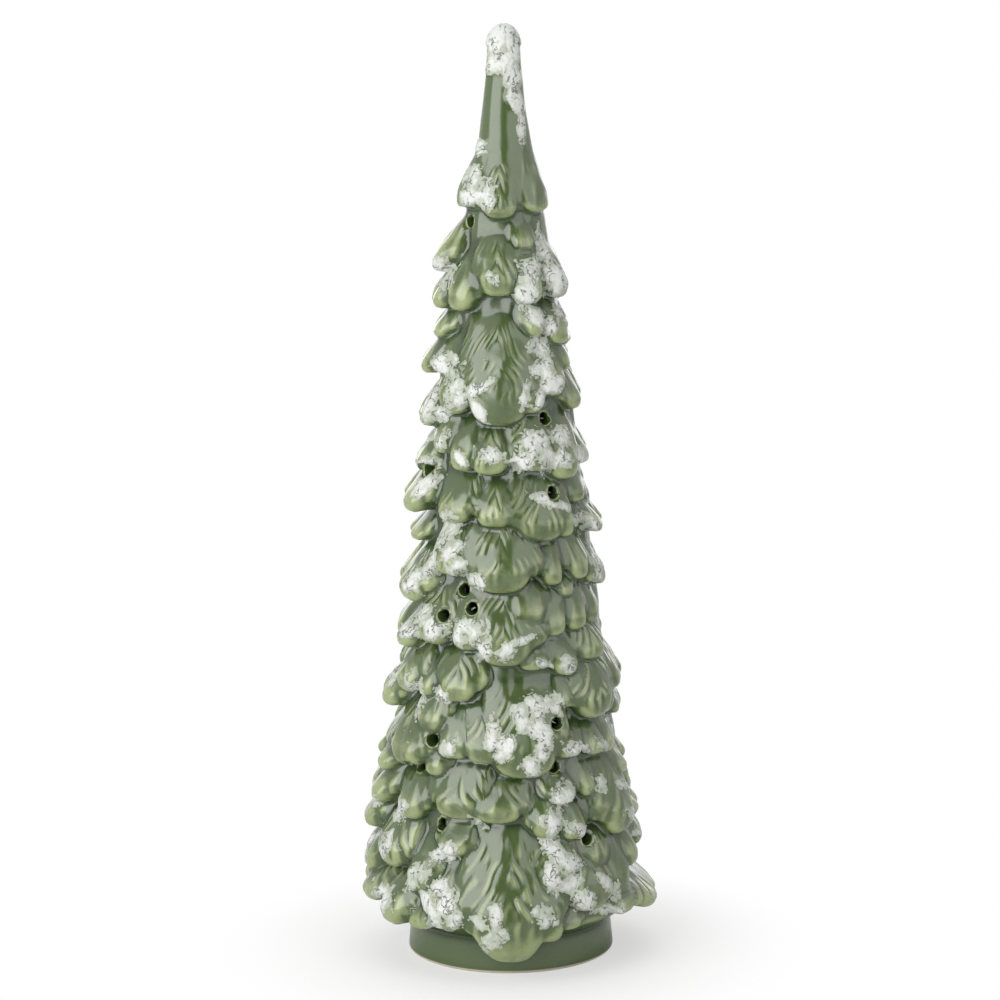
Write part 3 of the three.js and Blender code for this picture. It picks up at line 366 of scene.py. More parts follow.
def foot_radius(height):
    """A slight taper with a quarter-round lower edge, and an S curve out to the skirt."""
    edge = np.clip(1 - height / FOOT_EDGE, 0, 1)
    foot = (
        FOOT_RADIUS
        - FOOT_TAPER * np.minimum(1, height / FOOT_HEIGHT)
        - FOOT_EDGE * (1 - np.sqrt(1 - edge**2))
    )
    flare = eased((height - FOOT_HEIGHT) / (SKIRT_HEIGHT - FOOT_HEIGHT))
    return foot + (cone_radius(height) - foot) * flare


def bare_radius(height):
    """The tree without its boughs: foot, cone and spire."""
    lower = np.where(height >= SKIRT_HEIGHT, cone_radius(height), foot_radius(height))
    return np.where(height > CROWN_HEIGHT, spire_radius(height), lower)


def boughs():
    """Every bough, front and back: azimuth, tip, width, length, lift, reach, on the spire."""
    for share, tier in TIERS:
        for azimuth, above, width, length, lift in tier:
            tip = share * TREE_HEIGHT + above
            reach = cone_radius(tip) + lift / 2
            for turned in (azimuth, behind(azimuth)):
                yield math.radians(turned), tip, width, length, lift, reach, share > SPIRE_SHARE


def ripple(points, wavelength, seed, waves=14):
    """The mean of plane waves in random directions, at about one wavelength, from -1 to 1."""
    chance = np.random.default_rng(seed)
    directions = chance.normal(size=(waves, 3))
    directions /= np.linalg.norm(directions, axis=1, keepdims=True)
    lengths = wavelength * chance.uniform(0.7, 1.4, waves)
    shifts = chance.uniform(0, 2 * math.pi, waves)
    total = np.zeros(points.shape[:-1])
    for direction, length, shift in zip(directions, lengths, shifts):
        total += np.sin(points @ direction * (2 * math.pi / length) + shift)
    return total / math.sqrt(waves)


def blurred(values, height, radius, size):
    """A Gaussian blur of a surface value by a size in mm, as a product in the frequencies round
    each ring, and then in those up the rows, whose ends are carried on level."""
    waves = np.fft.rfft(values, axis=1)
    spread = (size / radius.mean(axis=1))[:, None] * np.arange(waves.shape[1])[None, :]
    ringed = np.fft.irfft(waves * np.exp(-0.5 * spread**2), n=values.shape[1], axis=1)
    pitch = abs(height[1] - height[0])
    margin = math.ceil(4 * size / pitch)
    padded = np.pad(ringed, ((margin, margin), (0, 0)), mode="edge")
    waves = np.fft.rfft(padded, axis=0)
    spread = 2 * math.pi * np.fft.rfftfreq(len(padded), pitch) * size
    risen = np.fft.irfft(waves * np.exp(-0.5 * spread**2)[:, None], n=len(padded), axis=0)
    return risen[margin:-margin]


def bough_relief(azimuth, height, sizes):
    """How far the boughs stand proud, with the phase and the strength of their ribs.

    A bough rises by a power curve from its root to its nose, times a superellipse dome whose width
    narrows from the nose up to the root. The skin beside it is a lower, wider and shorter dome of
    the same kind. Ribs follow the absolute sine of the share of the way from the bough's midline
    to its side plus the distance above its nose, so that they fan down and outward, and on over a
    large bough's skin. Overlapping boughs meet by a power mean, and the highest one's ribs show.
    """
    total, best, second, phase, ribbed = np.zeros((5, height.size, azimuth.size))
    edge = sizes.bough_edge
    pitch = sizes.rib_pitch / MM
    rib_height = sizes.rib_height / MM
    chance = np.random.default_rng(5)
    spots = placed(azimuth[None, :], bare_radius(height)[:, None], height[:, None])
    warp = ripple(spots, 11, 31, 8)
    fading = ripple(spots, 8, 32, 8)
    for angle, tip, width, length, lift, reach, on_spire in boughs():
        sway = chance.uniform(0, 2 * math.pi, 3)
        turn = wrapped(azimuth - angle)
        rows = np.flatnonzero((height > tip) & (height < tip + length))
        columns = np.flatnonzero(np.abs(turn) * reach < 0.55 * width * APRON_WIDTH)
        if not (rows.size and columns.size):
            continue
        window = np.ix_(rows, columns)
        level = height[rows][:, None]
        along = (level - tip) / length
        across = np.abs(turn[columns][None, :]) * reach / (0.5 * width)
        wavy = 1 + 0.06 * np.sin(7 * along + sway[0] + (turn[columns][None, :] > 0) * sway[1])
        carrier = cone_radius(level)
        if on_spire:
            carrier = np.maximum(SPIRE_BASE_RADIUS, carrier)
        under = np.where(level < CROWN_HEIGHT, carrier - bare_radius(level), 0)
        large = width >= LARGE_BOUGH
        point = 1.7 if width >= POINTED_BOUGH else 2.1 if large else 2.6

        def dome(start, spread, height_share):
            """The rise, how far up the ramp and the nose, and the narrowing, of a bough or skin."""
            share = (along - start) / (1 - start)
            up = np.clip((share - BOUGH_NOSE) / (1 - BOUGH_NOSE), 0, 1)
            nose = np.clip(1 - share / BOUGH_NOSE, 0, 1)
            narrowing = 1 - (1 - BOUGH_ROOT) * up**1.3
            beyond = nose**point + (across / (spread * narrowing * wavy)) ** edge
            top = np.clip(1 - beyond, 0, 1) ** (1 / edge)
            rise = (under + height_share * lift * (1 - up**1.4)) * top
            return rise, top, up, nose, narrowing

        rise, top, up, nose, narrowing = dome(0, 1, 1)
        skin_share = min(0.86, APRON_LIFT + APRON_GAIN * width)
        skin_rise, skin_top = dome(APRON_RISE, APRON_WIDTH, skin_share)[:2]
        half = 0.5 * width
        own_pitch = (pitch + max(0, 2.2 - tip / 70) if large else max(3.6, width / 3.2)) / half
        above_nose = np.clip(level - tip - BOUGH_NOSE * length, 0, None) / half
        own_phase = (across / narrowing + (0.55 if large else 0.15) * above_nose) / own_pitch
        own_phase += 0.22 * warp[window]
        face = np.maximum(eased(3 * top - 1.2), eased(3 * skin_top - 1) * (0.75 if large else 0))
        deep = 0.55 + 0.45 * math.sin(sway[2])
        strength = face * eased(3.4 - 3.6 * up) * (0.5 + 0.5 * deep if large else 0.55 * deep)
        patchy = eased(0.55 + 0.8 * fading[window])
        strength = strength * (1 - 0.85 * eased(1.6 * nose)) * patchy
        ribs = rib_height * (np.abs(np.sin(math.pi * own_phase)) - 0.5) * strength
        rise = np.where(rise > 0, np.maximum(rise + ribs, 0), 0)
        skin_rise = np.where(skin_rise > 0, np.maximum(skin_rise + ribs, 0), 0)
        total[window] += rise**sizes.crease + skin_rise**sizes.crease
        rise = np.maximum(rise, skin_rise)
        wins = rise > best[window]
        second[window] = np.where(wins, best[window], np.maximum(second[window], rise))
        best[window] = np.where(wins, rise, best[window])
        phase[window] = np.where(wins, own_phase, phase[window])
        ribbed[window] = np.where(wins, strength, ribbed[window])
    ribbed *= eased((best - second) / 0.4)
    return total ** (1 / sizes.crease), phase, ribbed


def daub_cover(azimuth, height, z, radius):
    """How thickly each point is painted: for each daub, its cover over 1 plus the fourth power of
    the distance from its middle in half lengths and half widths. The thickest daub counts."""
    cover = np.zeros(z.shape)
    chance = np.random.default_rng(11)
    for angle, middle, length, width, tilt, thickness in DAUBS:
        turned = [
            (angle, middle, length, width, tilt),
            (
                behind(angle) + chance.uniform(-3, 3),
                middle + chance.uniform(-2, 2),
                length * chance.uniform(0.8, 1.2),
                width * chance.uniform(0.75, 1.2),
                tilt + chance.uniform(-25, 25),
            ),
        ]
        for where, level, long, wide, lean in turned:
            limit = 2.2 * max(long, wide)
            turn = wrapped(azimuth - math.radians(where))
            rows = np.flatnonzero(np.abs(height - level) < limit + 4)
            columns = np.flatnonzero(np.abs(turn) * (bare_radius(level) + 6) < limit + 6)
            window = np.ix_(rows, columns)
            right = turn[columns][None, :] * radius[window]
            up = z[window] - level
            cosine = math.cos(math.radians(lean))
            sine = math.sin(math.radians(lean))
            along = (right * cosine + up * sine) / long
            across = (up * cosine - right * sine) / wide
            daub = thickness / (1 + (along**2 + across**2) ** 2)
            cover[window] = np.maximum(cover[window], daub)
    return cover


def placed(azimuth, radius, z):
    """Points of a surface of rings, from azimuth, radius and height."""
    x, y, z = np.broadcast_arrays(radius * np.sin(azimuth), -radius * np.cos(azimuth), z)
    return np.stack([x, y, z], axis=-1)


def neighbours(count):
    """The numbers of a ring's points, and of the point after each."""
    i = np.arange(count)
    return i, (i + 1) % count


def band(upper, upper_count, lower, lower_count):
    """Faces between two rings whose counts are alike or differ by a factor of 2.

    upper and lower are the rings' first vertex numbers, going down and then inward. Faces look
    outward. Returns quads and triangles.
    """
    if upper_count == lower_count:
        i, j = neighbours(upper_count)
        return np.stack([upper + i, lower + i, lower + j, upper + j], axis=1), np.empty((0, 3), int)
    if lower_count == 2 * upper_count:
        i, j = neighbours(upper_count)
        left, middle, right = lower + 2 * i, lower + 2 * i + 1, lower + (2 * i + 2) % lower_count
        triangles = np.concatenate([
            np.stack([upper + i, left, middle], axis=1),
            np.stack([upper + i, middle, upper + j], axis=1),
            np.stack([upper + j, middle, right], axis=1),
        ])
        return np.empty((0, 4), int), triangles
    quads, triangles = band(lower, lower_count, upper, upper_count)
    return quads, triangles[:, ::-1]


def skin(rings, attributes):
    """A closed surface through rings of points, from the top pole down and round to the last pole.

    Each ring is an array of points, and a pole is a ring of one. Returns points, quads, triangles
    and the attributes as one array each.
    """
    counts = [len(ring) for ring in rings]
    starts = np.concatenate([[0], np.cumsum(counts)[:-1]])
    quads, triangles = [], []
    for k in range(len(rings) - 1):
        upper, lower, above, below = starts[k], starts[k + 1], counts[k], counts[k + 1]
        if above == 1 or below == 1:
            many = max(above, below)
            i, j = neighbours(many)
            pole = np.full(many, upper if above == 1 else lower)
            fan = [pole, lower + i, lower + j] if above == 1 else [upper + j, upper + i, pole]
            triangles.append(np.stack(fan, axis=1))
        else:
            own_quads, own_triangles = band(upper, above, lower, below)
            quads.append(own_quads)
            triangles.append(own_triangles)
    merged = {name: np.concatenate(values) for name, values in attributes.items()}
    return np.concatenate(rings), np.concatenate(quads), np.concatenate(triangles), merged


def mesh_object(name, points, quads, triangles, attributes=None):
    """An object whose mesh has these points in mm, smooth faces and float attributes."""
    mesh = bpy.data.meshes.new(name)
    corners = np.concatenate([quads.ravel(), triangles.ravel()]).astype(np.int32)
    sides = np.concatenate([np.full(len(quads), 4), np.full(len(triangles), 3)])
    starts = np.concatenate([[0], np.cumsum(sides)[:-1]]).astype(np.int32)
    mesh.vertices.add(len(points))
    mesh.vertices.foreach_set("co", (points * MM).astype(np.float32).ravel())
    mesh.loops.add(len(corners))
    mesh.loops.foreach_set("vertex_index", corners)
    mesh.polygons.add(len(sides))
    mesh.polygons.foreach_set("loop_start", starts)
    mesh.polygons.foreach_set("use_smooth", np.ones(len(sides), dtype=bool))
    for key, values in (attributes or {}).items():
        layer = mesh.attributes.new(key, "FLOAT", "POINT")
        layer.data.foreach_set("value", np.asarray(values, dtype=np.float32).ravel())
    mesh.update(calc_edges=True)
    piece = bpy.data.objects.new(name, mesh)
    bpy.context.scene.collection.objects.link(piece)
    return piece


ATTRIBUTES = ("snow", "pooling", "rib_phase", "rib_amount", "hole_rim", "bare_clay")


def casting_rings(sizes, snow_thickness):
    """The casting's rings and their attributes, from the spire's pole down the outside, across the
    foot's rim, up the bore and the hollow, to the hollow's pole.

    The outside is worked out on a fine grid, smoothed by less than its kept pitch, and thinned.
    """
    spire_top = TREE_HEIGHT - SPIRE_NOSE
    rows = KEPT_STEP * round((spire_top - FOOT_EDGE) / FINE_ROW_PITCH / KEPT_STEP) + 1
    height = np.linspace(spire_top, FOOT_EDGE, rows)
    azimuth = np.linspace(0, 2 * math.pi, FINE_COLUMNS, endpoint=False)
    lift, phase, ribbed = bough_relief(azimuth, height, sizes)
    bare = bare_radius(height)[:, None] + np.zeros_like(lift)
    level = height[:, None] - BOUGH_DROOP * lift
    spots = placed(azimuth[None, :], bare + lift, level)
    fade = eased((height - FOOT_HEIGHT) / 12)[:, None] * eased((spire_top - height) / 12)[:, None]
    drawn = spots * [1, 1, 0.3]
    uneven = 0.6 * ripple(spots, 17, 3) + ripple(drawn, 9, 4) + 0.35 * ripple(drawn, 4, 6)
    smooth_spire = 1 - 0.75 * eased((height - CROWN_HEIGHT - 8) / 14)[:, None]
    uneven = sizes.unevenness / MM * uneven * fade * smooth_spire
    cover = daub_cover(azimuth, height, level, bare + lift)
    cover = cover + 0.1 * ripple(spots, 5, 21) * (cover > 0.05)
    painted = eased((cover - 0.3) / 0.25)
    radius = bare + lift
    fine = blurred(radius, height, bare, 1.2) - radius
    broad = blurred(radius, height, bare, 5.5) - radius
    pooling = np.clip(0.9 * fine / 0.4 + 0.4 * broad / 2.4, -1, 1)
    radius = blurred(radius + uneven, height, bare, SMOOTHING)
    radius = radius + snow_thickness * blurred(painted, height, bare, SMOOTHING)
    level = height[:, None] - BOUGH_DROOP * blurred(lift, height, bare, SMOOTHING)
    layers = {
        "snow": blurred(cover, height, bare, SMOOTHING),
        "pooling": blurred(pooling, height, bare, SMOOTHING),
        "rib_phase": phase,
        "rib_amount": blurred(ribbed, height, bare, SMOOTHING),
        "hole_rim": np.zeros_like(radius),
        "bare_clay": np.zeros_like(radius),
    }

    rings = []
    attributes = {name: [] for name in ATTRIBUTES}

    def add(ring, **given):
        rings.append(ring)
        for name in ATTRIBUTES:
            attributes[name].append(np.full(len(ring), 0.0) + given.get(name, 0.0))

    # The nose of the spire, by angle, with half the columns of the rows below it
    add(np.array([[0, 0, TREE_HEIGHT]]), snow=0.9)
    columns = FINE_COLUMNS // KEPT_STEP // 2
    around = np.linspace(0, 2 * math.pi, columns, endpoint=False)
    for angle in np.linspace(0, math.pi / 2, 15)[1:-1]:
        high = spire_top + SPIRE_NOSE * math.cos(angle)
        girth = spire_radius(high)
        level_ring = np.ones((1, columns))
        cap = daub_cover(around, np.array([high]), high * level_ring, girth * level_ring)
        add(placed(around, girth + snow_thickness, high), snow=np.maximum(cap[0], 0.75))
    for row in range(0, rows, KEPT_STEP):
        step = KEPT_STEP * (2 if height[row] > STITCH_HEIGHT else 1)
        ring = placed(azimuth[::step], radius[row, ::step], level[row, ::step])
        add(ring, **{name: layers[name][row, ::step] for name in ATTRIBUTES})

    # The foot's rounded lower edge, its flat rim, the bore and the hollow
    around = azimuth[::KEPT_STEP]
    for angle in np.linspace(0, math.pi / 2, 6)[1:]:
        low = FOOT_EDGE * (1 - math.sin(angle))
        add(placed(around, foot_radius(low), low), bare_clay=eased((1.5 - low) / 0.7))
    middle = (BORE_RADIUS + FOOT_RADIUS - FOOT_EDGE) / 2
    inner = around[::4]
    add(placed(around[::2], middle, 0), bare_clay=1)
    add(placed(inner, BORE_RADIUS + RIM_CHAMFER, 0), bare_clay=1)
    for low in (RIM_CHAMFER, BORE_TOP / 3, 2 * BORE_TOP / 3, BORE_TOP):
        add(placed(inner, BORE_RADIUS, low), bare_clay=1)
    shoulder = BORE_TOP + SHOULDER_HEIGHT
    start_radius = bare_radius(shoulder) - SHELL_WALL
    for share in (0.2, 0.4, 0.6, 0.8):
        girth = BORE_RADIUS + (start_radius - BORE_RADIUS) * eased(share)
        add(placed(inner, girth, BORE_TOP + SHOULDER_HEIGHT * share), bare_clay=1)
    for high in np.linspace(shoulder, CAVITY_TOP, 30):
        girth = max(CAVITY_TIP_RADIUS, bare_radius(high) - SHELL_WALL)
        add(placed(inner, girth, high), bare_clay=1)
    add(np.array([[0, 0, CAVITY_TOP + CAVITY_TIP_RADIUS]]), bare_clay=1)
    return rings, attributes


def hole_places():
    """(azimuth in radians, height) of every light hole, front and back."""
    for azimuth, share in HOLES:
        yield math.radians(azimuth), share * TREE_HEIGHT
        yield math.radians(behind(azimuth)), share * TREE_HEIGHT


def hole_distance(points, angle, height):
    """How far points lie from a light hole's axis, along the surface."""
    reach = np.hypot(points[:, 0], points[:, 1])
    bearing = np.arctan2(points[:, 0], -points[:, 1])
    return np.hypot(wrapped(bearing - angle) * reach, points[:, 2] - height)


def hole_cutters(points, flare):
    """Trumpets that cut the light holes: a cylinder whose radius grows by a quarter circle where it
    meets the surface, turned about the hole's level axis."""
    sides = 28
    spin = np.linspace(0, 2 * math.pi, sides, endpoint=False)
    reach = np.hypot(points[:, 0], points[:, 1])
    cutters = []
    offset = 0
    for angle, height in hole_places():
        outside = reach > bare_radius(height) - SHELL_WALL / 2
        mouth = reach[outside & (hole_distance(points, angle, height) < 1.2)].mean()
        inside = (bare_radius(height) - SHELL_WALL) / 2
        steps = np.linspace(0, 1, 6)
        along = np.concatenate([
            [inside, mouth - 4], mouth - flare * (1 - steps) + 0.25, [mouth + 3 * SHELL_WALL],
        ])
        opening = HOLE_RADIUS + flare * (1 - np.sqrt(1 - steps**2))
        radii = np.concatenate([[HOLE_RADIUS, HOLE_RADIUS], opening, [opening[-1]]])
        out = np.array([math.sin(angle), -math.cos(angle), 0])
        right = np.array([math.cos(angle), math.sin(angle), 0])
        rings = [np.array([inside * out + [0, 0, height]])]
        for distance, radius in zip(along, radii):
            circle = radius * (np.cos(spin)[:, None] * right - np.sin(spin)[:, None] * [0, 0, 1])
            rings.append(circle + distance * out + [0, 0, height])
        rings.append(np.array([along[-1] * out + [0, 0, height]]))
        marks = [np.zeros(1), *(np.full(sides, float(d > mouth)) for d in along), np.zeros(1)]
        own_points, quads, triangles, marked = skin(rings, {"hole_rim": marks})
        cutters.append((own_points, quads + offset, triangles + offset, marked["hole_rim"]))
        offset += len(own_points)
    *mesh, rims = (np.concatenate(arrays) for arrays in zip(*cutters))
    attributes = {name: np.zeros(len(rims)) for name in ATTRIBUTES}
    attributes["hole_rim"] = rims
    return mesh_object("hole_cutters", *mesh, attributes)


def rim_nearness(points, flare):
    """1 at a light hole's flared edge, falling to 0 by 1.1 mm from it."""
    nearness = np.zeros(len(points))
    for angle, height in hole_places():
        past_edge = hole_distance(points, angle, height) - HOLE_RADIUS - flare
        nearness = np.maximum(nearness, eased(1 - past_edge / 1.1))
    return nearness


def cut(piece, cutter):
    """The piece's mesh with the cutter's volume taken out of it, and the cutter removed."""
    modifier = piece.modifiers.new("holes", "BOOLEAN")
    modifier.operation = "DIFFERENCE"
    modifier.solver = "MANIFOLD"
    modifier.object = cutter
    depsgraph = bpy.context.evaluated_depsgraph_get()
    result = bpy.data.meshes.new_from_object(piece.evaluated_get(depsgraph))
    piece.modifiers.clear()
    old = piece.data
    piece.data = result
    result.name = piece.name
    bpy.data.meshes.remove(old)
    bpy.data.meshes.remove(cutter.data)


# Shader maths

def math_node(operation, swapped=False):
    """A method that adds a Math node, with its operands swapped if asked."""

    def method(self, *others):
        operands = (*others, self) if swapped else (self, *others)
        sockets = dict(enumerate(operands))
        return self.graph.node("ShaderNodeMath", {"operation": operation}, sockets)

    return method


class Value:
    """A node socket that arithmetic can be written on: each operator adds a Math node."""

    def __init__(self, graph, socket):
        self.graph = graph
        self.socket = socket

    __add__ = math_node("ADD")
    __radd__ = math_node("ADD", swapped=True)
    __sub__ = math_node("SUBTRACT")
    __rsub__ = math_node("SUBTRACT", swapped=True)
    __mul__ = math_node("MULTIPLY")
    __rmul__ = math_node("MULTIPLY", swapped=True)
    __truediv__ = math_node("DIVIDE")
    above = math_node("MAXIMUM")
    sine = math_node("SINE")
    absolute = math_node("ABSOLUTE")

    def between(self, low, high):
        """0 at low, 1 at high, an S curve between them, and level outside."""
        return self.graph.node(
            "ShaderNodeMapRange", {"interpolation_type": "SMOOTHSTEP"},
            {0: self, 1: low, 2: high, 3: 0.0, 4: 1.0},
        )


class Graph:
    """The nodes of a new material or world."""

    def __init__(self, owner):
        owner.use_nodes = True
        self.owner = owner
        self.tree = owner.node_tree
        self.tree.nodes.clear()

    def node(self, kind, settings=None, sockets=None, output=0):
        """Adds a node. Settings are set first, then each socket's value or link, where a colour may
        leave out its alpha. Returns one output."""
        made = self.tree.nodes.new(kind)
        for name, value in (settings or {}).items():
            setattr(made, name, value)
        for key, value in (sockets or {}).items():
            socket = made.inputs[key]
            if isinstance(value, Value):
                self.tree.links.new(value.socket, socket)
            elif hasattr(value, "__len__") and len(value) < len(socket.default_value):
                socket.default_value = (*value, 1)
            else:
                socket.default_value = value
        return Value(self, made.outputs[output]) if made.outputs else None

    def object_place(self):
        return self.node("ShaderNodeTexCoord", output="Object")

    def attribute(self, name):
        return self.node("ShaderNodeAttribute", {"attribute_name": name}, output="Fac")

    def noise(self, place, size, detail=3.0, roughness=0.55, distortion=0.0, output="Fac"):
        """Noise whose features measure about size, in metres."""
        return self.node(
            "ShaderNodeTexNoise", None,
            {"Vector": place, "Scale": 1 / size, "Detail": detail, "Roughness": roughness,
             "Distortion": distortion},
            output,
        )

    def cells(self, place, size, feature="F1"):
        """The distance in a pattern of cells that measure about size, in metres."""
        return self.node(
            "ShaderNodeTexVoronoi", {"feature": feature}, {"Vector": place, "Scale": 1 / size},
            "Distance",
        )

    def mix(self, share, first, second):
        """The first colour at share 0, and the second at 1."""
        return self.node(
            "ShaderNodeMix", {"data_type": "RGBA"}, {0: share, 6: first, 7: second}, output=2
        )

    def vector_maths(self, operation, *operands, output=0):
        return self.node(
            "ShaderNodeVectorMath", {"operation": operation}, dict(enumerate(operands)), output
        )

    def parts(self, vector):
        """The x, y and z of a vector."""
        outputs = self.node("ShaderNodeSeparateXYZ", None, {0: vector}).socket.node.outputs
        return [Value(self, outputs[i]) for i in range(3)]

    def bump(self, height, strength=1.0):
        """A normal from a height in millimetres."""
        return self.node(
            "ShaderNodeBump", None, {"Height": height, "Distance": MM, "Strength": strength}
        )

    def finish(self, sockets):
        """Gives the material a Principled shader with these sockets, and returns it."""
        shader = self.node("ShaderNodeBsdfPrincipled", None, sockets)
        self.node("ShaderNodeOutputMaterial", None, {"Surface": shader})
        return self.owner


def dimmed(colour, share):
    return tuple(share * part for part in colour)


def glaze_material(glaze, snow):
    """Glaze that is pale over edges and rib crests, partly a painted highlight, and deep in
    hollows, bare clay on the rim and inside, and rough cracked paint wherever the snow attribute is
    high."""
    graph = Graph(bpy.data.materials.new("glaze_and_snow"))
    place = graph.object_place()
    pooling = graph.attribute("pooling")
    ribbed = graph.attribute("rib_amount")
    rib = ((graph.attribute("rib_phase") * math.pi).sine().absolute() - 0.5) * ribbed
    crest_glaze_and_highlight = (rib * 2).between(0.08, 0.75)
    groove = (rib * 2).between(-0.1, -0.8)
    clouds = graph.noise(place, 0.014, 3) - 0.5
    mottle = graph.noise(place, 0.0016, 3, 0.6) - 0.5
    grain = graph.noise(place, 0.0005, 2, 0.6) - 0.5

    # Glaze: depth runs from about -1, thin, to 1, pooled. The thin glaze over edges is real glaze
    # breaking, made paler as a painted highlight.
    depth = pooling - rib * 0.25 + clouds * 0.6 + mottle * 0.35
    colour = graph.mix(depth.between(-0.2, -1.25), glaze.flat, glaze.thin)
    colour = graph.mix(depth.between(0.0, 0.95), colour, glaze.pooled)
    # Pale rib crests: thin glaze breaking over the ribs, partly a painted highlight line.
    colour = graph.mix(crest_glaze_and_highlight * 0.55, colour, glaze.thin)
    colour = graph.mix(groove * 0.5, colour, glaze.pooled)
    rim = graph.attribute("hole_rim").between(0.35, 1.0)
    colour = graph.mix(rim * 0.6, colour, glaze.rim)
    speck = graph.cells(place, 0.0021).between(0.16, 0.05) * clouds.between(0.0, 0.2)
    colour = graph.mix(speck * 0.35, colour, glaze.thin)

    # Bare clay
    clay = graph.attribute("bare_clay")
    clay_grain = graph.mix(mottle + 0.5, glaze.clay, dimmed(glaze.clay, 0.75))
    colour = graph.mix(clay, colour, clay_grain)

    # Snow paint: brushed on in streaks, so that its edges run along them, with flakes missing
    # where it is thin and a few winding cracks where it is thick
    painted = graph.attribute("snow")
    ragged = graph.noise(place, 0.0062, 2, 0.5) - 0.5
    flaky = graph.noise(place, 0.001, 2, 0.5) - 0.5
    swirl = graph.noise(place, 0.005, 2, 0.5, 0, "Color")
    warp = graph.vector_maths("MULTIPLY_ADD", swirl, (0.005,) * 3, place)
    streaked = graph.vector_maths("MULTIPLY", warp, (1.0, 1.0, 0.4))
    brush = graph.noise(streaked, 0.0016, 3, 0.55) - 0.5
    lower = graph.parts(place)[2].between(0.24, 0.1)
    thin = painted.between(0.9, 0.55) * painted.between(0.08, 0.25)
    fleck = 0.42 - graph.cells(warp, 0.0021)
    cover = painted - pooling.above(0) * 0.12 - lower * 0.055
    cover = cover + ragged + brush * 0.35 + flaky * 0.12 + fleck * thin * 0.4
    solid = cover.between(0.4, 0.85)
    vein = (graph.noise(warp, 0.0034, 2, 0.5) - 0.5).absolute().between(0.034, 0.014)
    crack = vein * (graph.noise(place, 0.005, 2) + flaky * 0.3).between(0.49, 0.55)
    snowy = (cover - crack * 0.15).between(0.315, 0.345) * (1 - clay)
    crack = crack * snowy
    worn = graph.mix(solid, snow.shade, snow.colour)
    worn = graph.mix(brush.between(0.0, -0.18) * 0.6, worn, snow.shade)
    colour = graph.mix(snowy, colour, graph.mix(crack * 0.8, worn, snow.crack))

    roughness = glaze.roughness + clouds * 0.06 + mottle * 0.05
    roughness = roughness + clay * (0.8 - glaze.roughness)
    roughness = roughness * (1 - snowy) + snowy * (snow.roughness + flaky * 0.2)
    relief = rib * 0.3 * (1 - snowy * 0.5) + clouds * 0.12 + grain * 0.015 * clay
    relief = relief + snowy * (0.3 + solid * 0.2 + brush * 0.32 + flaky * 0.08) - crack * 0.4
    return graph.finish({
        "Base Color": colour, "Roughness": roughness, "Normal": graph.bump(relief), "IOR": 1.7,
    })


def moulded_plastic(name, colour, gloss, grain_size=0.0006):
    """Moulded plastic: faint cloudiness, a fine spark-eroded grain and handling marks."""
    graph = Graph(bpy.data.materials.new(name))
    place = graph.object_place()
    clouds = graph.noise(place, 0.012, 3)
    grain = graph.noise(place, grain_size, 2, 0.6)
    handled = graph.noise(place, 0.02, 4, 0.6, 0.4)
    shade = dimmed(colour, 0.9)
    tinted = graph.mix(clouds.between(0.35, 0.7), colour, shade)
    return graph.finish({
        "Base Color": graph.mix((grain - 0.5).absolute() * 0.4, tinted, shade),
        "Roughness": gloss + (handled - 0.5) * 0.16,
        "Normal": graph.bump(grain, 0.25),
    })


def silicone_rubber(colour):
    """Pale silicone: cloudy, with dust specks that dull it."""
    graph = Graph(bpy.data.materials.new("silicone"))
    place = graph.object_place()
    clouds = graph.noise(place, 0.006, 4)
    specks = graph.cells(place, 0.0013).between(0.2, 0.05)
    dust = specks * graph.noise(place, 0.007).between(0.5, 0.65)
    milky = graph.mix(clouds, colour, dimmed(colour, 0.82))
    return graph.finish({
        "Base Color": graph.mix(dust * 0.5, milky, (0.85, 0.85, 0.82)),
        "Roughness": 0.38 + clouds * 0.15 + dust * 0.2,
        "Normal": graph.bump(clouds, 0.05),
        "Subsurface Weight": 0.15,
        "Subsurface Scale": 0.002,
    })


def plated_steel(colour):
    """Nickel-plated steel: fine drawn lines, and slight staining that dulls it."""
    graph = Graph(bpy.data.materials.new("plated_steel"))
    place = graph.object_place()
    drawn = graph.vector_maths("MULTIPLY", place, (1.0, 1.0, 0.06))
    lines = graph.noise(drawn, 0.00025, 2, 0.6)
    stains = graph.noise(place, 0.0028, 4, 0.6)
    return graph.finish({
        "Base Color": graph.mix(stains.between(0.5, 0.75) * 0.4, colour, (0.4, 0.36, 0.3)),
        "Metallic": 1.0,
        "Roughness": 0.2 + lines * 0.14 + stains.between(0.45, 0.75) * 0.16,
        "Normal": graph.bump(lines, 0.006),
    })


def cell_sleeve(name, colour, ends):
    """A cell's shrunk sleeve, dark in the middle and pale near both ends, which are bare steel."""
    graph = Graph(bpy.data.materials.new(name))
    place = graph.object_place()
    from_middle = (graph.parts(place)[1] - 0.5 * (ends[0] + ends[1])).absolute()
    half = 0.5 * (ends[1] - ends[0])
    bare = from_middle.between(half - 0.0017, half - 0.0015)
    pale = from_middle.between(half - 0.0098, half - 0.0096)
    wrinkle = graph.noise(graph.vector_maths("MULTIPLY", place, (1, 0.25, 1)), 0.0022, 3)
    scuffs = graph.noise(place, 0.0009, 3, 0.7).between(0.62, 0.7)
    sleeve = graph.mix(pale * 0.6, colour, (0.45, 0.46, 0.44))
    sleeve = graph.mix(scuffs * 0.3, sleeve, (0.2, 0.21, 0.2))
    return graph.finish({
        "Base Color": graph.mix(bare, sleeve, (0.6, 0.59, 0.56)),
        "Metallic": bare,
        "Roughness": 0.3 + wrinkle * 0.14 + scuffs * 0.2,
        "Normal": graph.bump(wrinkle * (1 - bare), 0.06),
    })


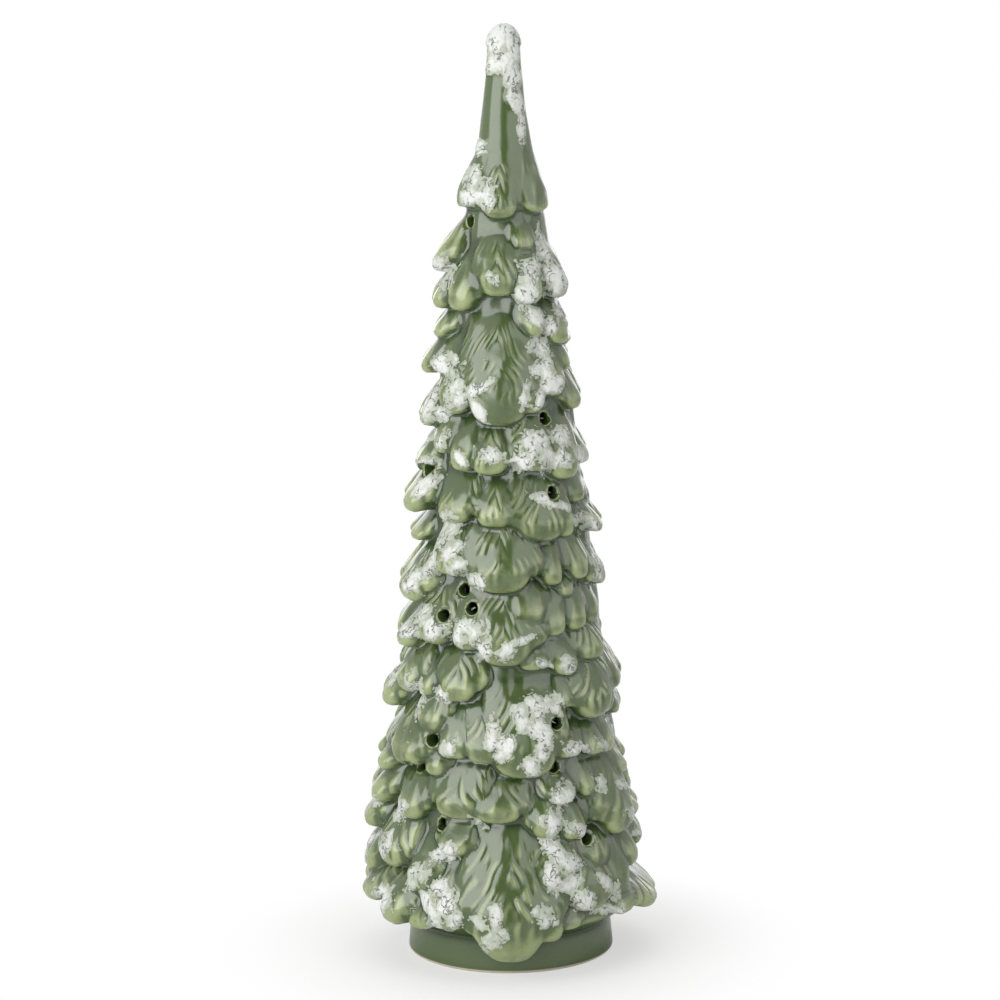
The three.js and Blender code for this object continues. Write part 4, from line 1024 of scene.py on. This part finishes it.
def solder_mask(colour, corner):
    """A circuit board: copper tracks showing paler through green mask, and bare laminate edges."""
    graph = Graph(bpy.data.materials.new("solder_mask"))
    place = graph.object_place()
    cells = graph.cells(place, 0.0055, "DISTANCE_TO_EDGE").between(0.09, 0.06)
    fine = graph.noise(place, 0.0004, 2)
    edges = [
        part.absolute().between(limit - 0.00012, limit - 0.00002)
        for part, limit in zip(graph.parts(place)[:2], corner)
    ]
    edge = edges[0].above(edges[1])
    track = tuple(min(1, 1.9 * part + 0.01) for part in colour)
    masked = graph.mix(cells, colour, track)
    masked = graph.mix(fine * 0.15, masked, dimmed(colour, 0.6))
    return graph.finish({
        "Base Color": graph.mix(edge, masked, (0.35, 0.33, 0.16)),
        "Roughness": 0.26 + edge * 0.4 + fine * 0.08,
        "Normal": graph.bump(cells * (1 - edge), 0.03),
    })


def cast_epoxy(colour, base_height):
    """A light diode's tinted epoxy, clearer towards its dome."""
    graph = Graph(bpy.data.materials.new("cast_epoxy"))
    place = graph.object_place()
    rise = (graph.parts(place)[2] - base_height) / 0.0087
    haze = graph.noise(place, 0.0016, 3)
    clearer = (rise + haze * 0.3).between(0.1, 1.0)
    return graph.finish({
        "Base Color": graph.mix(clearer, dimmed(colour, 0.72), colour),
        "Roughness": 0.07 + haze * 0.07,
        "Normal": graph.bump(haze, 0.015),
        "Transmission Weight": 0.35,
        "IOR": 1.53,
    })


def banded_body(name, colour, bands, axis, size):
    """A small coated component body with plain bands across it."""
    graph = Graph(bpy.data.materials.new(name))
    place = graph.object_place()
    along = graph.parts(place)[axis]
    coat = graph.noise(place, 0.0012, 3)
    tone = graph.mix(coat, colour, dimmed(colour, 0.8))
    for middle, band_colour in bands:
        inside = (along - middle).absolute().between(size, 0.8 * size)
        tone = graph.mix(inside, tone, band_colour)
    return graph.finish({
        "Base Color": tone, "Roughness": 0.34 + coat * 0.16, "Normal": graph.bump(coat, 0.03),
    })


def dress(names, material):
    """Gives CAD nodes a material in every slot."""
    for name in names:
        for material_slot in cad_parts[name].material_slots:
            material_slot.material = material


# Operators

class FIRTREE_OT_stage(bpy.types.Operator):
    """Set up the camera, the soft lamps, the white surroundings and the pale floor"""

    bl_idname = "firtree.stage"
    bl_label = "Stage"

    def execute(self, context):
        stage = context.scene.firtree_stage
        self.place_camera(context.scene, stage)
        self.light_world(context.scene, stage.ambient)
        self.hang_lamps(context.scene, stage.lamps)
        self.lay_floor(stage.floor)
        context.scene.view_settings.view_transform = "Standard"
        return {"FINISHED"}

    def place_camera(self, scene, stage):
        data = bpy.data.cameras.new("camera")
        data.lens = stage.lens
        data.sensor_width = 36
        data.shift_x = -0.0073
        data.shift_y = 0.0059
        data.clip_start = 0.05
        camera = bpy.data.objects.new("camera", data)
        scene.collection.objects.link(camera)
        eye = Vector((0, -stage.distance, stage.camera_height))
        forward = (Vector((0, 0, stage.aim_height)) - eye).normalized()
        level = Vector((1, 0, 0))
        upright = level.cross(forward)
        right = level * math.cos(stage.roll) - upright * math.sin(stage.roll)
        up = level * math.sin(stage.roll) + upright * math.cos(stage.roll)
        axes = Matrix((right, up, -forward)).transposed()
        camera.matrix_world = Matrix.Translation(eye) @ axes.to_4x4()
        scene.camera = camera

    def light_world(self, scene, ambient):
        """White to the eye and in reflections, but for the dark gap between the two front lamps,
        and softer on matt surfaces."""
        world = bpy.data.worlds.new("surroundings")
        scene.world = world
        graph = Graph(world)
        seen = graph.node("ShaderNodeLightPath", output="Is Camera Ray")
        outputs = seen.socket.node.outputs
        glossy = Value(graph, outputs["Is Glossy Ray"])
        through = Value(graph, outputs["Is Transmission Ray"])
        direction = graph.parts(graph.node("ShaderNodeTexCoord", output="Generated"))
        gap = direction[0].absolute().between(0.24, 0.12) * direction[1].between(-0.3, -0.5)
        white = seen.above(glossy * (1 - 0.9 * gap)).above(through)
        strength = white * (1 - ambient) + ambient * (1 - glossy * gap)
        background = graph.node(
            "ShaderNodeBackground", None, {"Color": (1, 1, 1), "Strength": strength}
        )
        graph.node("ShaderNodeOutputWorld", None, {"Surface": background})

    def hang_lamps(self, scene, strength):
        """Large soft lamps: the left one leads, a narrow gap is left in front, and a weaker one
        lights the back."""
        middle = Vector((0, 0, 0.19))
        lamps = [
            ("left_lamp", (-1.0, -1.0, 0.55), (1.5, 1.8), 3.0),
            ("right_lamp", (1.0, -1.0, 0.55), (1.5, 1.8), 1.0),
            ("top_lamp", (0.0, 0.15, 1.5), (1.2, 1.0), 1.2),
            ("back_lamp", (0.0, 1.3, 0.7), (1.8, 1.4), 1.1),
        ]
        for name, place, (width, height), radiance in lamps:
            data = bpy.data.lights.new(name, "AREA")
            data.shape = "RECTANGLE"
            data.size = width
            data.size_y = height
            data.energy = radiance * math.pi * width * height * strength
            lamp = bpy.data.objects.new(name, data)
            lamp.location = place
            lamp.rotation_euler = (middle - Vector(place)).to_track_quat("-Z", "Y").to_euler()
            scene.collection.objects.link(lamp)

    def lay_floor(self, colour):
        """A flat pale disc. It is clear from below and inside the foot's rim, so that the light
        unit can be seen from there and has light on it."""
        sides = 96
        around = np.linspace(0, 2 * math.pi, sides, endpoint=False)
        points = np.concatenate([np.zeros((1, 3)), placed(around, FLOOR_RADIUS, 0.0)])
        points -= [0, 0, FLOOR_GAP]
        i, j = neighbours(sides)
        fan = np.stack([np.zeros(sides, int), 1 + i, 1 + j], axis=1)
        floor = mesh_object("floor", points, np.empty((0, 4), int), fan)

        graph = Graph(bpy.data.materials.new("floor"))
        place = graph.object_place()
        tone = graph.mix(graph.noise(place, 0.4, 2), colour, dimmed(colour, 0.985))
        matt = graph.node("ShaderNodeBsdfPrincipled", None, {"Base Color": tone, "Roughness": 0.9})
        distance = graph.vector_maths("LENGTH", place, output="Value")
        seen = graph.node("ShaderNodeLightPath", output="Is Camera Ray")
        white = graph.node("ShaderNodeEmission", None, {"Color": (1, 1, 1), "Strength": 1.0})
        far = seen * (0.5 + 0.5 * distance.between(0.05, 0.13))
        surface = graph.node("ShaderNodeMixShader", None, {0: far, 1: matt, 2: white})
        clear = graph.node("ShaderNodeBsdfTransparent")
        below = graph.node("ShaderNodeNewGeometry", output="Backfacing")
        inside = distance.between((FLOOR_OPENING + 1) * MM, FLOOR_OPENING * MM)
        open_part = 1 - (1 - below) * (1 - inside)
        surface = graph.node("ShaderNodeMixShader", None, {0: open_part, 1: surface, 2: clear})
        graph.node("ShaderNodeOutputMaterial", None, {"Surface": surface})
        floor.data.materials.append(graph.owner)


class FIRTREE_OT_casting(bpy.types.Operator):
    """Make the glazed stoneware casting with its boughs, light holes and snow paint"""

    bl_idname = "firtree.casting"
    bl_label = "Stoneware casting"

    def execute(self, context):
        sizes = context.scene.firtree_casting
        snow = context.scene.firtree_snow
        flare = sizes.hole_flare / MM
        rings, attributes = casting_rings(sizes, snow.thickness / MM)
        points, quads, triangles, merged = skin(rings, attributes)
        inner = merged["bare_clay"] > 0.5
        merged["hole_rim"] = np.where(inner, 0, rim_nearness(points, flare))
        casting = mesh_object("fir_tree_casting", points, quads, triangles, merged)
        cut(casting, hole_cutters(points, flare))
        casting.data.materials.clear()
        casting.data.materials.append(glaze_material(context.scene.firtree_glaze, snow))
        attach(casting, "tree")
        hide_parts("tree_shell")
        return {"FINISHED"}


class FIRTREE_OT_unit_shells(bpy.types.Operator):
    """Finish the light unit's plastic tray, cover, door and knob, and its silicone seal"""

    bl_idname = "firtree.unit_shells"
    bl_label = "Unit shells"

    def execute(self, context):
        look = context.scene.firtree_unit
        white = moulded_plastic("white_plastic", look.white, 0.5)
        dress(["base_tray", "unit_cover", "battery_door"], white)
        dress(["switch_slider", "timer_chip"], moulded_plastic("black_plastic", look.black, 0.42))
        dress(["seal_ring"], silicone_rubber(look.silicone))
        return {"FINISHED"}


class FIRTREE_OT_unit_metal(bpy.types.Operator):
    """Finish the contacts, the switch's case, the screws and the battery cells"""

    bl_idname = "firtree.unit_metal"
    bl_label = "Unit metal"

    def execute(self, context):
        look = context.scene.firtree_unit
        steel = ("contact_", "cover_screw", "board_screw", "switch_body")
        named = [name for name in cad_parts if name.startswith(steel)]
        dress(named, plated_steel(look.metal))
        for name in ("battery_left", "battery_right"):
            low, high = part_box(name)
            side = name.removeprefix("battery_")
            dress([name], cell_sleeve("cell_sleeve_" + side, look.sleeve, (low.y, high.y)))
        return {"FINISHED"}


class FIRTREE_OT_unit_circuit(bpy.types.Operator):
    """Finish the circuit board, what is soldered to it, and the wires"""

    bl_idname = "firtree.unit_circuit"
    bl_label = "Unit circuit"

    def execute(self, context):
        look = context.scene.firtree_unit
        dress(["circuit_board"], solder_mask(look.mask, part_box("circuit_board")[1]))
        dress(["led_1", "led_2", "led_3"], cast_epoxy(look.epoxy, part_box("led_1")[0].z))
        low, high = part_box("resistor")
        middle = (low + high) / 2
        axis = 0 if high.x - low.x > high.y - low.y else 1
        rings = [
            (middle[axis] - 0.0014, (0.35, 0.1, 0.02)),
            (middle[axis] - 0.0004, (0.02, 0.02, 0.02)),
            (middle[axis] + 0.0006, (0.3, 0.06, 0.01)),
        ]
        dress(["resistor"], banded_body("resistor_coat", (0.58, 0.44, 0.25), rings, axis, 0.00032))
        top = [(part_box("capacitor")[1].z, (0.55, 0.55, 0.56))]
        dress(["capacitor"], banded_body("capacitor_sleeve", (0.015, 0.03, 0.07), top, 2, 0.0004))
        dress(["wire_red", "wire_switch"], moulded_plastic("red_wire", look.red, 0.4, 0.001))
        dress(["wire_black"], moulded_plastic("black_wire", look.black, 0.4, 0.001))
        return {"FINISHED"}


class FIRTREE_PT_panel(bpy.types.Panel):
    """The fir tree's sizes, colours and pieces"""

    bl_idname = "FIRTREE_PT_panel"
    bl_label = "Fir Tree"
    bl_space_type = "VIEW_3D"
    bl_region_type = "UI"
    bl_category = "Fir Tree"

    def draw(self, context):
        for title, group in GROUPS.items():
            box = self.layout.box()
            box.label(text=title)
            settings = getattr(context.scene, group[0])
            for name in group[1].__annotations__:
                box.prop(settings, name)
        for operator in OPERATORS:
            self.layout.operator(operator.bl_idname)


GROUPS = {
    "Casting": ("firtree_casting", CastingSizes),
    "Glaze": ("firtree_glaze", GlazeLook),
    "Snow": ("firtree_snow", SnowLook),
    "Light unit": ("firtree_unit", UnitLook),
    "Stage": ("firtree_stage", StageSizes),
}
OPERATORS = (
    FIRTREE_OT_stage,
    FIRTREE_OT_casting,
    FIRTREE_OT_unit_shells,
    FIRTREE_OT_unit_metal,
    FIRTREE_OT_unit_circuit,
)


def register():
    for name, group in GROUPS.values():
        bpy.utils.register_class(group)
        setattr(bpy.types.Scene, name, bpy.props.PointerProperty(type=group))
    for operator in OPERATORS:
        bpy.utils.register_class(operator)
    bpy.utils.register_class(FIRTREE_PT_panel)


def unregister():
    bpy.utils.unregister_class(FIRTREE_PT_panel)
    for operator in reversed(OPERATORS):
        bpy.utils.unregister_class(operator)
    for name, group in GROUPS.values():
        delattr(bpy.types.Scene, name)
        bpy.utils.unregister_class(group)


def main():
    register()
    bpy.ops.firtree.stage()
    bpy.ops.firtree.casting()
    bpy.ops.firtree.unit_shells()
    bpy.ops.firtree.unit_metal()
    bpy.ops.firtree.unit_circuit()


if __name__ == "__main__":
    main()
